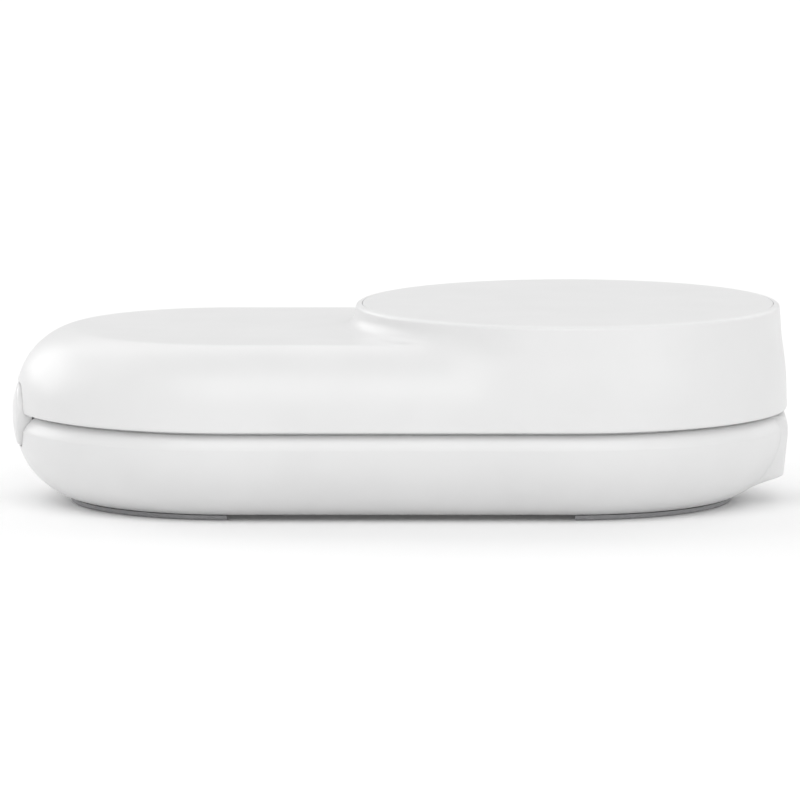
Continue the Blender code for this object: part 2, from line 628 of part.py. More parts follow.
def make_foot(name, side):
    """A half-moon pad, on the right for side 1 and on the left for side -1."""
    centre_x = DRUM_X if side > 0 else SLAB_END_X
    reach = abs(side * FOOT_FLAT_X + CENTRE_X - centre_x)
    rings = []
    for inward, z in ((FOOT_EDGE, 0.0), (0.0, FOOT_EDGE), (0.0, FOOT_HEIGHT - TOUCH)):
        radius = FOOT_RADIUS - inward
        half = math.degrees(math.acos((reach + inward) / radius))
        points = arc(centre_x, 0, radius, -half, half, 2 * ARC_STEPS)
        if side < 0:
            points = arc(centre_x, 0, radius, 180 - half, 180 + half, 2 * ARC_STEPS)
        rings.append(at_height(points, z))
    loft(name, rings, "foot")


def make_screw(name, x, y, head_z, up):
    """A screw whose shaft runs along +Z for up 1, or -Z for up -1, from its head's inner face."""
    low = head_z - HEAD_HEIGHT if up > 0 else head_z
    screw = cylinder(name, (x, y, low), HEAD_RADIUS, HEAD_HEIGHT, kind="steel")
    shaft_low = head_z - FIT if up > 0 else head_z - SHAFT_LENGTH
    length = SHAFT_LENGTH + FIT
    join(screw, cylinder(f"{name}_shaft", (x, y, shaft_low), SHAFT_RADIUS, length, sides=10))
    outer = Vector((x, y, head_z - up * HEAD_HEIGHT))
    arms = ((CROSS_HALF_LENGTH, CROSS_HALF_WIDTH), (CROSS_HALF_WIDTH, CROSS_HALF_LENGTH))
    for i, (half_x, half_y) in enumerate(arms):
        reach = Vector((half_x, half_y, CROSS_DEPTH))
        cut(screw, box(f"{name}_cross_{i}", outer - reach, outer + reach))


def make_screws():
    for i, (x, y) in enumerate(BASE_SCREWS):
        make_screw(f"base_screw_{i + 1}", x, y, BASE_HEAD_Z, 1)
    for i, (x, y) in enumerate(HANDSET_SCREWS):
        make_screw(f"handset_screw_{i + 1}", x, y, HANDSET_HEAD_Z, -1)


def build():
    for leftover in list(bpy.data.objects):
        bpy.data.objects.remove(leftover, do_unlink=True)
    make_base_shell()
    make_deck()
    make_charge_contacts()
    make_locator_button()
    make_socket()
    make_inner_blocks()
    make_foot("front_foot", -1)
    make_foot("rear_foot", 1)
    make_handset_back()
    make_battery_cover()
    make_battery_tray()
    make_front_plate()
    make_handset_inside()
    make_screws()


build()
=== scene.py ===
"""Looks of a cordless telephone lying face down on its charging base.

Shapes are made in millimetres, in the CAD frame: +X towards the drum, +Z up, and the table at zero.
"""

import math

import bmesh
import bpy
import numpy as np
from mathutils import Matrix, Vector


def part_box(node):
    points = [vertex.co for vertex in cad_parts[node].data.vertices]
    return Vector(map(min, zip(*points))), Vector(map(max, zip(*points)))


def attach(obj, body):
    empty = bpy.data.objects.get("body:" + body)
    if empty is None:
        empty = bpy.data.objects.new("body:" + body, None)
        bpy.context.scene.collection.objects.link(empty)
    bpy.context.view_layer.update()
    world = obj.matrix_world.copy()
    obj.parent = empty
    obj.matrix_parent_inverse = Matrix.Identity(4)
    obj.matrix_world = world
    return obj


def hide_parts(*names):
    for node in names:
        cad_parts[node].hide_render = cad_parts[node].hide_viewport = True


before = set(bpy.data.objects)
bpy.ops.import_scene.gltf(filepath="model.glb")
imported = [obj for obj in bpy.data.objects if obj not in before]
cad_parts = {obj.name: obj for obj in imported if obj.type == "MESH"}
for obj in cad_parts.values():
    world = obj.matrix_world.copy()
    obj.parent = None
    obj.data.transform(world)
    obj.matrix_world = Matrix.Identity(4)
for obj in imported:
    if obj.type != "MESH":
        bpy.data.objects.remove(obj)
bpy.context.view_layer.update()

MM = 0.001


def cad(node):
    """The lowest and highest corner of a CAD node, in millimetres."""
    low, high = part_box(node)
    return low / MM, high / MM


def plan_middle(node):
    """The middle of a CAD node's plan, as (x, y)."""
    low, high = cad(node)
    return (low.x + high.x) / 2, (low.y + high.y) / 2


def plan_size(node):
    """A CAD node's size along X and Y."""
    low, high = cad(node)
    return high.x - low.x, high.y - low.y


def screw_places(kind):
    """The (x, y) of each of the base's or the handset's screws."""
    return [plan_middle(f"{kind}_screw_{i}") for i in range(1, 5)]


# Sizes that the CAD gives
RADIUS = cad("base_shell")[1].y
DRUM_X = cad("handset_back")[1].x - RADIUS
FOOT_RADIUS = cad("rear_foot")[1].x - DRUM_X
SLAB_X = cad("front_foot")[0].x + FOOT_RADIUS
SHELL_Z = cad("base_shell")[0].z
LIP_TOP_Z = cad("base_shell")[1].z
HANDSET_Z = cad("handset_back")[0].z
DRUM_TOP_Z = cad("handset_back")[1].z
PLATE_Z = cad("front_plate")[0].z
COVER_RADIUS = cad("battery_cover")[1].x - DRUM_X
COVER_Z = cad("battery_cover")[0].z
BUTTON_LOW, BUTTON_HIGH = cad("locator_button")
BUTTON_Z = (BUTTON_LOW.z + BUTTON_HIGH.z) / 2

# Sizes that the CAD's boxes don't give
GAP = 0.6
BASE_RIM_Z = HANDSET_Z - GAP
PARTING_Z = HANDSET_Z - GAP / 2
DECK_Z = 16.8
SLAB_TOP_Z = 36.02
WALL = 2.0
FIT = 0.3
HANDSET_INSET, HANDSET_POWERS = 12.4, (1.61, 2.45)
BASE_INSET, BASE_POWERS = 12.2, (1.42, 2.63)
HANDSET_RIM, BASE_RIM = (0.35, 0.7), (2.4, 3.2)  # how far each rim rounds in, and over what height
BASE_RIM_POWER = 1.35
DRUM_TOP_RADIUS = 43.65
DRUM_EDGE = (1.0, 0.8)
FILLET, SHALLOW_FILLET = 3.2, 6.0  # from corner to edge, where it is square and what an open one adds
LIP_INSET, LIP_INNER = 2.8, 3.6
BUTTON_GROOVE = 0.4
ALCOVE_X = -73.5
OUTSIDE_X = -90.0
BORE_RADIUS = 1.45
NEAR_AXIS = 0.02  # where a turned profile that closes on its axis ends

# Smoothness
ARC_STEPS = 72
STRAIGHT_STEPS = 16
PROFILE_STEPS = 30
TOP_STEPS = 16
DRUM_WALL_STEPS = 10

# How points crowd together towards the corner between drum and slab
MEETING_CROWDING = 0.85
STRAIGHT_CROWDING = 1.8
TOP_CROWDING = 1.9
DRUM_WALL_CROWDING = 1.4


# ---- meshes


def add_object(name, data):
    made = bpy.data.objects.new(name, data)
    bpy.context.scene.collection.objects.link(made)
    return made


def finish_mesh(name, bm):
    """An object of bm, whose coordinates are in millimetres."""
    bmesh.ops.remove_doubles(bm, verts=bm.verts, dist=1e-4)
    bmesh.ops.recalc_face_normals(bm, faces=bm.faces)
    bmesh.ops.scale(bm, vec=(MM, MM, MM), verts=bm.verts)
    data = bpy.data.meshes.new(name)
    bm.to_mesh(data)
    bm.free()
    return add_object(name, data)


def loft(name, rings, closed=True):
    """A solid through rings of equally many points. An unclosed one joins its last ring to its first."""
    bm = bmesh.new()
    rows = [[bm.verts.new(point) for point in ring] for ring in rings]
    count = len(rows[0])
    pairs = list(zip(rows, rows[1:]))
    if not closed:
        pairs.append((rows[-1], rows[0]))
    for low, high in pairs:
        for i in range(count):
            j = (i + 1) % count
            bm.faces.new((low[i], low[j], high[j], high[i]))
    if closed:
        bm.faces.new(rows[0][::-1])
        bm.faces.new(rows[-1])
    return finish_mesh(name, bm)


def lathe(name, profile, centre, axis="Z", steps=48):
    """A solid of revolution about an (x, y) or (x, y, z), with a profile of (radius, distance along)."""
    turn = {"X": Matrix.Rotation(math.pi / 2, 3, "Y"), "Y": Matrix.Rotation(-math.pi / 2, 3, "X")}
    rotation = turn.get(axis, Matrix.Identity(3))
    centre = Vector(centre).to_3d()
    rings = []
    for radius, along in profile:
        angles = (2 * math.pi * i / steps for i in range(steps))
        points = (Vector((radius * math.cos(a), radius * math.sin(a), along)) for a in angles)
        rings.append([rotation @ point + centre for point in points])
    return loft(name, rings)


def rod(name, radius, low, high, place, steps=32):
    """An upright cylinder from low to high, at an (x, y)."""
    return lathe(name, [(radius, low), (radius, high)], place, steps=steps)


def prism(name, outline, low, high, edge=0.0, edge_steps=3):
    """An outline raised from low to high, with both edges rounded by moving the outline in."""
    rings = [(0.0, low), (0.0, high)]
    if edge:
        rings = [(inward, low + up) for inward, up in rounded_edge((edge, edge), edge_steps)]
        rings += [(inset, low + high - z) for inset, z in reversed(rings)]
    return loft(name, [at_height(outline(inset), z) for inset, z in rings])


def box(name, low, high, edge):
    """A block with rounded edges."""
    bm = bmesh.new()
    bmesh.ops.create_cube(bm, size=1.0)
    low, high = Vector(low), Vector(high)
    bmesh.ops.scale(bm, vec=high - low, verts=bm.verts)
    bmesh.ops.translate(bm, vec=(low + high) / 2, verts=bm.verts)
    if edge:
        bmesh.ops.bevel(bm, geom=bm.edges[:], offset=edge, segments=2, profile=0.5, affect="EDGES")
    return finish_mesh(name, bm)


def tube(name, points, radius, steps=8):
    """A round wire through points, with flat ends."""
    points = [Vector(p) for p in points]
    rings = []
    for i, point in enumerate(points):
        ahead = points[min(i + 1, len(points) - 1)] - points[max(i - 1, 0)]
        side = ahead.cross(Vector((0, 1, 0))).normalized()
        up = side.cross(ahead).normalized()
        angles = (2 * math.pi * k / steps for k in range(steps))
        rings.append([point + radius * (math.cos(a) * side + math.sin(a) * up) for a in angles])
    return loft(name, rings)


def apply_modifiers(obj):
    """Makes what obj's modifiers give its own mesh."""
    graph = bpy.context.evaluated_depsgraph_get()
    data = bpy.data.meshes.new_from_object(obj.evaluated_get(graph))
    obj.modifiers.clear()
    obj.data = data


def weld(obj):
    """Closes the hairline cracks that a boolean step can leave."""
    bm = bmesh.new()
    bm.from_mesh(obj.data)
    bmesh.ops.remove_doubles(bm, verts=bm.verts, dist=0.001 * MM)
    bm.to_mesh(obj.data)
    bm.free()


def boolean(obj, operation, others):
    """Combines obj with each of the other solids, and removes them."""
    for other in others:
        step = obj.modifiers.new("step", "BOOLEAN")
        step.operation = operation
        step.object = other
        step.solver = "EXACT"
        apply_modifiers(obj)
        weld(obj)
        bpy.data.objects.remove(other)
    return obj


def cut(obj, *others):
    return boolean(obj, "DIFFERENCE", others)


def join(obj, *others):
    return boolean(obj, "UNION", others)


def smooth(obj, angle):
    """Smooth shading with creases where faces meet more sharply than angle."""
    obj.data.shade_smooth()
    obj.data.set_sharp_from_angle(angle=math.radians(angle))
    step = obj.modifiers.new("even_normals", "WEIGHTED_NORMAL")
    step.keep_sharp = True


def piece(obj, body, nodes, look, angle=32):
    """Makes obj a finished piece: shaded, coloured, and standing for CAD nodes on their body."""
    nodes = [nodes] if isinstance(nodes, str) else nodes
    smooth(obj, angle)
    obj.data.materials.clear()
    obj.data.materials.append(look)
    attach(obj, body)
    if nodes:
        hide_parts(*nodes)
    return obj


# ---- outlines and profiles


def arc(x, y, radius, start, end, steps):
    """Points on an arc, with both ends, for angles in degrees."""
    for i in range(steps + 1):
        angle = math.radians(start + (end - start) * i / steps)
        yield x + radius * math.cos(angle), y + radius * math.sin(angle)


def at_height(points, z):
    return [(x, y, z) for x, y in points]


def stadium(inset):
    """The object's outline, moved in by inset."""
    radius = RADIUS - inset
    return [*arc(DRUM_X, 0, radius, -90, 90, ARC_STEPS), *arc(SLAB_X, 0, radius, 90, 270, ARC_STEPS)]


def rounded_rectangle(centre, size, corner, steps=6):
    """A function that gives this outline moved in by an inset."""

    def outline(inset=0.0):
        radius = max(corner - inset, 0.02)
        dx, dy = size[0] / 2 - inset - radius, size[1] / 2 - inset - radius
        quarters = ((dx, dy, 0), (-dx, dy, 90), (-dx, -dy, 180), (dx, -dy, 270))
        return [
            point
            for x, y, start in quarters
            for point in arc(centre[0] + x, centre[1] + y, radius, start, start + 90, steps)
        ]

    return outline


def round_slab(radius, straight):
    """Points back along one straight side, round the slab's end and out along the other side."""
    end = arc(SLAB_X, 0, radius, 90, 270, ARC_STEPS)
    return [*((x, radius) for x in straight), *end, *((x, -radius) for x in reversed(straight))]


def inset_at(up, inset, height, powers):
    """How far a superellipse side has curved in at a height above its widest point."""
    share = min(max(up / height, 0.0), 1.0)
    return inset * (1 - (1 - share ** powers[1]) ** (1 / powers[0]))


def superellipse(inset, height, powers, steps=PROFILE_STEPS):
    """(inset, height) along a side profile, from its widest point to its flat end."""
    for i in range(steps + 1):
        angle = math.pi / 2 * i / steps
        across = max(math.cos(angle), 0.0) ** (2 / powers[0])
        yield inset * (1 - across), height * math.sin(angle) ** (2 / powers[1])


def rounded_edge(size, steps=7, power=2.0):
    """(inward, along) round an edge of size (inward, along), from its flat to its side."""
    for i in range(steps + 1):
        angle = math.pi / 2 * i / steps
        up, across = math.sin(angle) ** (2 / power), max(math.cos(angle), 0.0) ** (2 / power)
        yield size[0] * (1 - up), size[1] * (1 - across)


def drum_radius(z):
    share = (z - PARTING_Z) / (DRUM_TOP_Z - PARTING_Z)
    return RADIUS + (DRUM_TOP_RADIUS - RADIUS) * share


# ---- handset casing

COVER_GROOVE = 0.09
COVER_SEAT_EDGE = (0.08, 0.08)
COVER_SEAT_CLEARANCE = 0.05
DRUM_CEILING = 1.9
TRAY_WALL = 1.0
TRAY_INNER_CORNER = 2.0
HANDSET_SEAT_RADIUS = 2.9


def handset_ring(slab_radius, round_radius, z, drum_only=False):
    """The handset's outline at height z, with its points closest together where drum and slab meet.

    With drum_only, the points of the slab's stretch go round the rest of the drum's circle instead.
    """
    meeting = math.pi - math.asin(min(1.0, slab_radius / round_radius))
    points = []
    for i in range(2 * ARC_STEPS + 1):
        share = i / ARC_STEPS - 1
        angle = meeting * (share + MEETING_CROWDING * math.sin(math.pi * share) / math.pi)
        points.append((DRUM_X + round_radius * math.cos(angle), round_radius * math.sin(angle)))
    if drum_only:
        steps = 2 * STRAIGHT_STEPS + ARC_STEPS
        start = math.degrees(meeting)
        points += list(arc(DRUM_X, 0, round_radius, start, 360 - start, steps))[1:-1]
        return at_height(points, z)
    edge_x = points[-1][0]
    shares = [(i / STRAIGHT_STEPS) ** STRAIGHT_CROWDING for i in range(1, STRAIGHT_STEPS)]
    straight = [edge_x + (SLAB_X - edge_x) * share for share in shares]
    return at_height(points + round_slab(slab_radius, straight), z)


def side_ring(z, inward=0.0):
    """The handset's outline on its curved side, moved in at its rim."""
    height = SLAB_TOP_Z - PARTING_Z
    slab = RADIUS - inset_at(z - PARTING_Z, HANDSET_INSET, height, HANDSET_POWERS)
    return handset_ring(slab - inward, max(drum_radius(z), slab) - inward, z)


def handset_outside():
    """Rings of the casing's outside, from its rim up to the edge of the drum's top."""
    rings = [side_ring(HANDSET_Z + up, inward) for inward, up in rounded_edge(HANDSET_RIM)]
    top_of_rim = HANDSET_Z + HANDSET_RIM[1]
    height = SLAB_TOP_Z - PARTING_Z
    for _inset, up in superellipse(HANDSET_INSET, height, HANDSET_POWERS):
        if PARTING_Z + up > top_of_rim + FIT:
            rings.append(side_ring(PARTING_Z + up))
    slab = RADIUS - HANDSET_INSET
    flat = np.array(rings[-1])
    crease = np.array(handset_ring(slab, drum_radius(SLAB_TOP_Z), SLAB_TOP_Z, drum_only=True))
    for i in range(1, TOP_STEPS + 1):
        share = 1 - (1 - i / TOP_STEPS) ** TOP_CROWDING
        rings.append((flat + (crease - flat) * share).tolist())
    wall_top = DRUM_TOP_Z - DRUM_EDGE[1]
    for i in range(1, DRUM_WALL_STEPS):
        z = SLAB_TOP_Z + (wall_top - SLAB_TOP_Z) * (i / DRUM_WALL_STEPS) ** DRUM_WALL_CROWDING
        rings.append(handset_ring(slab, drum_radius(z), z, drum_only=True))
    for inward, down in reversed(list(rounded_edge(DRUM_EDGE))):
        radius = drum_radius(wall_top) - inward
        rings.append(handset_ring(slab, radius, DRUM_TOP_Z - down, drum_only=True))
    return rings


def unit(vectors):
    return vectors / np.maximum(np.linalg.norm(vectors, axis=1, keepdims=True), 1e-9)


def slab_surface(points):
    """Signed distances to the slab's sides and top, and the directions away from them."""
    x, y, z = points.T
    out = np.stack([x - np.clip(x, SLAB_X, DRUM_X), y], axis=1)
    flat = np.stack([np.linalg.norm(out, axis=1) - RADIUS, z], axis=1)
    height = SLAB_TOP_Z - PARTING_Z
    sides = superellipse(HANDSET_INSET, height, HANDSET_POWERS, 3 * PROFILE_STEPS)
    profile = [(-inset, PARTING_Z + up) for inset, up in sides]
    corners = np.array([(0.0, 0.0), *profile, (-RADIUS, SLAB_TOP_Z)])
    edges = np.diff(corners, axis=0)
    facing = unit(np.stack([edges[:, 1], -edges[:, 0]], axis=1))
    turning = unit(np.vstack([facing[:1], facing[:-1] + facing[1:], facing[-1:]]))
    nearest = np.full(len(points), np.inf)
    distance = np.empty(len(points))
    normal = np.empty((len(points), 2))
    for i, edge in enumerate(edges):
        gap = flat - corners[i]
        share = np.clip(gap @ edge / (edge @ edge), 0, 1)[:, None]
        gap = gap - share * edge
        length = np.linalg.norm(gap, axis=1)
        closer = length < nearest
        nearest[closer] = length[closer]
        distance[closer] = (length * np.sign(gap @ facing[i]))[closer]
        normal[closer] = (turning[i] * (1 - share) + turning[i + 1] * share)[closer]
    return distance, unit(np.column_stack([unit(out) * normal[:, :1], normal[:, 1]]))


def drum_surface(points):
    """Signed distances to the drum's wall, and the directions away from it."""
    x, y, z = points.T
    out = np.stack([x - DRUM_X, y], axis=1)
    slope = (RADIUS - DRUM_TOP_RADIUS) / (DRUM_TOP_Z - PARTING_Z)
    normal = unit(np.column_stack([unit(out), np.full(len(points), slope)]))
    gap = np.linalg.norm(out, axis=1) - drum_radius(z)
    return gap / math.hypot(1, slope), normal


def settle_on_fillet(rings, low, high):
    """Moves the points between two heights onto the casing, with a ball rolled along the inner corner.

    The ball grows as the corner opens, so that the fillet stays wide until the corner is gone.
    """
    points = np.array(rings, float)
    shape = points.shape
    flat = points.reshape(-1, 3)
    chosen = (flat[:, 2] > low) & (flat[:, 2] < high)
    moving = flat[chosen]
    rounds = 8
    most_aligned = 0.9999  # keeps the ball's size finite
    for _round in range(rounds):
        slab, slab_normal = slab_surface(moving)
        drum, drum_normal = drum_surface(moving)
        aligned = np.clip((slab_normal * drum_normal).sum(axis=1), 0.0, most_aligned)
        width = FILLET + SHALLOW_FILLET * aligned**2
        ball = width * np.sqrt((1 + aligned) / (1 - aligned))
        to_slab, to_drum = ball - slab, ball - drum
        along_slab = (to_slab - to_drum * aligned) / (1 - aligned**2)
        along_drum = (to_drum - to_slab * aligned) / (1 - aligned**2)
        to_ball = slab_normal * along_slab[:, None] + drum_normal * along_drum[:, None]
        reach = np.linalg.norm(to_ball, axis=1)
        on_ball = (to_slab > 0) & (to_drum > 0) & (along_slab > 0) & (along_drum > 0)
        nearer = np.where((slab < drum)[:, None], slab_normal, drum_normal)
        distance = np.where(on_ball, ball - reach, np.minimum(slab, drum))
        direction = np.where(on_ball[:, None], unit(to_ball), nearer)
        moving = moving - distance[:, None] * direction
    flat[chosen] = moving
    return flat.reshape(shape).tolist()


def button_ring(x, wider=0.0, scale=1.0, steps=24):
    """The locator button's oval outline at x, made wider all round or scaled about its middle."""
    half_height = (BUTTON_HIGH.z - BUTTON_LOW.z) / 2
    straight = BUTTON_HIGH.y - half_height
    radius = half_height + wider
    ends = (*arc(straight, 0, radius, -90, 90, steps), *arc(-straight, 0, radius, 90, 270, steps))
    return [(x, y * scale, BUTTON_Z + z * scale) for y, z in ends]


def pill(name, wider, x_from, x_to):
    """A solid along X in the locator button's oval shape, wider all round."""
    return loft(name, [button_ring(x, wider) for x in (x_from, x_to)])


def leave_alcove_wall(hollow):
    """Keeps a wall round the locator button's alcove when this hollow is cut out of a casing."""
    return cut(hollow, pill("housing", BUTTON_GROOVE + WALL, OUTSIDE_X, ALCOVE_X + WALL))


def wall_notch():
    """What a plate between the casings loses, to clear the alcove's wall."""
    return pill("notch", BUTTON_GROOVE + WALL + FIT, OUTSIDE_X, ALCOVE_X + WALL + FIT)


def alcove_arch():
    """The alcove's space in the handset: the button's shape above, and open below."""
    rings = []
    for x in (OUTSIDE_X, ALCOVE_X):
        ring = [point for point in button_ring(x, BUTTON_GROOVE) if point[2] > BUTTON_Z - FIT]
        by_side = sorted(ring, key=lambda point: point[1])
        rings.append([(x, by_side[0][1], SHELL_Z), *by_side, (x, by_side[-1][1], SHELL_Z)])
    return loft("alcove", rings)


def ring_prism(name, outer, inner, low, high):
    """The space between two insets of the outline."""
    rings = [
        at_height(stadium(inset), z)
        for inset, z in ((outer, low), (outer, high), (inner, high), (inner, low))
    ]
    return loft(name, rings, closed=False)


def handset_hollow():
    """The space inside the slab, a wall's thickness in from its outside."""
    height = SLAB_TOP_Z - WALL - PARTING_Z
    sides = list(superellipse(HANDSET_INSET, height, HANDSET_POWERS, 8))[1:]
    rings = [at_height(stadium(WALL), HANDSET_Z - FIT)]
    rings += [at_height(stadium(WALL + inset), PARTING_Z + up) for inset, up in sides]
    return loft("hollow", rings)


def cover_seat_rings():
    """Rings of the groove round the battery cover, from its rounded edge down to the seat below."""
    slab = RADIUS - HANDSET_INSET
    radius = COVER_RADIUS + COVER_GROOVE
    edge = [(radius + inward, DRUM_TOP_Z - down) for inward, down in rounded_edge(COVER_SEAT_EDGE, 3)]
    edge.append((radius, COVER_Z - COVER_SEAT_CLEARANCE))
    return [handset_ring(slab, edge_radius, z, drum_only=True) for edge_radius, z in edge]


def make_handset_back(look):
    """The casing with the drum, hollow, and open on top for the cells under the battery cover."""
    above_rim = HANDSET_Z + HANDSET_RIM[1] + 2 * FIT
    rings = settle_on_fillet(handset_outside(), above_rim, DRUM_TOP_Z - DRUM_EDGE[0])
    outside = loft("outside", rings + cover_seat_rings())
    ceiling_z = COVER_Z - DRUM_CEILING
    inner_radius = drum_radius(ceiling_z) - WALL
    drum_hollow = rod("drum_hollow", inner_radius, PLATE_Z, ceiling_z, (DRUM_X, 0), 96)
    casing = cut(outside, leave_alcove_wall(handset_hollow()), drum_hollow, alcove_arch())
    cut(casing, ring_prism("rebate", LIP_INSET - FIT, LIP_INNER + FIT, PARTING_Z, LIP_TOP_Z + FIT))
    bay_size = [size - 2 * TRAY_WALL for size in plan_size("battery_tray")]
    bay_outline = rounded_rectangle((DRUM_X, 0), bay_size, TRAY_INNER_CORNER)
    cut(casing, prism("bay", bay_outline, ceiling_z - FIT, DRUM_TOP_Z))
    for place in screw_places("handset"):
        cut(casing, rod("seat", HANDSET_SEAT_RADIUS, ceiling_z - FIT, DRUM_TOP_Z, place))
    casing.name = "casing_back"
    return piece(casing, "handset", "handset_back", look)


def make_battery_cover(look):
    chamfer = 0.3
    underside = [(COVER_RADIUS - chamfer, COVER_Z), (COVER_RADIUS, COVER_Z + chamfer)]
    edge = [(COVER_RADIUS - inward, DRUM_TOP_Z - down) for inward, down in rounded_edge((0.1, 0.1), 4)]
    cover = lathe("round_cover", underside + edge[::-1], (DRUM_X, 0), steps=160)
    return piece(cover, "battery_cover", "battery_cover", look)


# ---- base casing

BLOCK_BLEND = (9.3, 11.6)  # the block's side walls slope away between these distances from the middle
BLOCK_UNDERSIDE = ((2.6, 68.0), (3.4, 71.2), (4.2, 73.6), (4.9, 75.6), (5.4, 77.2))  # (z, x)
BLOCK_LOWER_EDGE = ((5.75, 78.2), (6.1, 78.8), (6.6, 79.05))
BLOCK_UPPER_EDGE = ((14.5, 79.85), (16.4, 79.85), (17.3, 79.65), (18.0, 79.2), (18.4, 78.6), (18.7, 77.4))
BLOCK_PROFILE = BLOCK_UNDERSIDE + BLOCK_LOWER_EDGE + BLOCK_UPPER_EDGE
BLOCK_SOFTNESS = 0.35  # how softly the block grows out of the bowl
SOCKET_FRONT_X = 77.8
SOCKET_MOUTH = (10.8, 7.7)  # its width and height
SOCKET_MOUTH_Z = 11.25
POCKET_Z = 18.4  # the floor of the cradle deck's pocket


def block_rise(y, z, bowl_x):
    """How far the rear block stands out of the bowl at (y, z)."""
    heights, reaches = zip(*BLOCK_PROFILE)
    if not heights[0] <= z <= heights[-1]:
        return 0.0
    largest_power = 60.0
    rise = (np.interp(z, heights, reaches) - bowl_x) / BLOCK_SOFTNESS
    rise = BLOCK_SOFTNESS * math.log1p(math.exp(min(rise, largest_power)))
    inner, outer = BLOCK_BLEND
    share = min(max((abs(y) - inner) / (outer - inner), 0.0), 1.0)
    return rise * (1 - share * share * (3 - 2 * share))


def block_columns():
    """The y of each column of points across the block, closer together where its sides slope."""
    wide, fine = 0.6, 0.12
    slope_start, slope_end = BLOCK_BLEND
    middle = [i * wide for i in range(int(slope_start / wide) + 1)]
    fine_count = int((slope_end + wide - slope_start) / fine)
    sides = [slope_start + fine * i for i in range(1, fine_count + 1)]
    half = middle + [y for y in sides if y > middle[-1]]
    return [-y for y in half[:0:-1]] + half


def base_ring(z, inward=0.0):
    """The base's outline at height z, with the rear block standing out of its right end."""
    height = PARTING_Z - SHELL_Z
    inset = inset_at(PARTING_Z - z, BASE_INSET, height, BASE_POWERS)
    radius = RADIUS - inset - inward
    columns = block_columns()
    tip = []
    for y in columns:
        bowl_x = DRUM_X + math.sqrt(radius**2 - y**2)
        tip.append((bowl_x + block_rise(y, z, bowl_x), y))
    start = math.degrees(math.asin(columns[-1] / radius))
    side_steps = ARC_STEPS // 2 - 6
    below = list(arc(DRUM_X, 0, radius, -90, -start, side_steps))[:-1]
    above = list(arc(DRUM_X, 0, radius, start, 90, side_steps))[1:]
    straight = [DRUM_X + (SLAB_X - DRUM_X) * i / STRAIGHT_STEPS for i in range(1, STRAIGHT_STEPS)]
    return at_height([*below, *tip, *above, *round_slab(radius, straight)], z)


def base_outside():
    """Rings of the bowl, from its flat underside up to its rim."""
    height = PARTING_Z - SHELL_Z
    rim_bottom = BASE_RIM_Z - BASE_RIM[1]
    sides = list(superellipse(BASE_INSET, height, BASE_POWERS, PROFILE_STEPS + 10))
    rings = []
    for _inset, down in reversed(sides):
        if PARTING_Z - down < rim_bottom - FIT:
            rings.append(base_ring(PARTING_Z - down))
    for inward, down in reversed(list(rounded_edge(BASE_RIM, 10, BASE_RIM_POWER))):
        rings.append(base_ring(BASE_RIM_Z - down, inward))
    return rings


def base_hollow():
    """The space inside the bowl, a wall's thickness in from its outside, up to inside the lip."""
    height = PARTING_Z - SHELL_Z - WALL
    sides = list(superellipse(BASE_INSET, height, BASE_POWERS, 10))
    rings = [
        at_height(stadium(WALL + inset), PARTING_Z - down)
        for inset, down in reversed(sides)
        if PARTING_Z - down < DECK_Z - FIT
    ]
    rings += [at_height(stadium(LIP_INNER), z) for z in (DECK_Z, BASE_RIM_Z + FIT)]
    return loft("hollow", rings)


def socket_mouth():
    """The opening through the block's face into the line socket."""
    corner, length, back_x = 0.6, 14.0, 70.0
    mouth = prism("mouth", rounded_rectangle((0, 0), SOCKET_MOUTH, corner), 0.0, length)
    mouth.data.transform(Matrix.Rotation(math.pi / 2, 4, "Z") @ Matrix.Rotation(math.pi / 2, 4, "X"))
    mouth.data.transform(Matrix.Translation(Vector((back_x, 0, SOCKET_MOUTH_Z)) * MM))
    return mouth


def socket_chamber():
    """The space in the block that the line socket fills, open to the bowl behind it."""
    reach_in = 8.0
    low, high = cad("line_socket")
    corner = (low.x - reach_in, low.y - FIT, low.z - FIT)
    return box("chamber", corner, (SOCKET_FRONT_X, high.y + FIT, high.z + FIT), 0)


def make_base_shell(look):
    """The bowl, with the lip that the handset sits over, the socket's block and four screw bosses."""
    outside = loft("bowl", base_outside())
    lip_inside = prism("lip_inside", lambda inset: stadium(LIP_INNER), BASE_RIM_Z, LIP_TOP_Z + FIT)
    lip = prism("lip", lambda inset: stadium(LIP_INSET + inset), BASE_RIM_Z - 1.0, LIP_TOP_Z, 0.15, 2)
    join(outside, lip)
    cut(outside, leave_alcove_wall(base_hollow()), lip_inside)
    alcove = pill("alcove", BUTTON_GROOVE, OUTSIDE_X, ALCOVE_X)
    cut(outside, alcove, socket_chamber(), socket_mouth())
    seat_radius, seat_top_z = 2.9, 2.9
    seat = [(3.3, 0.5), (seat_radius, SHELL_Z + 0.4), (seat_radius, seat_top_z)]
    boss_radius, boss_top_z = 4.2, 5.0
    for place in screw_places("base"):
        join(outside, rod("boss", boss_radius, SHELL_Z + 1.0, boss_top_z, place))
        cut(outside, lathe("seat", seat, place, steps=40))
    outside.name = "casing_base"
    return piece(outside, "base", "base_shell", look)


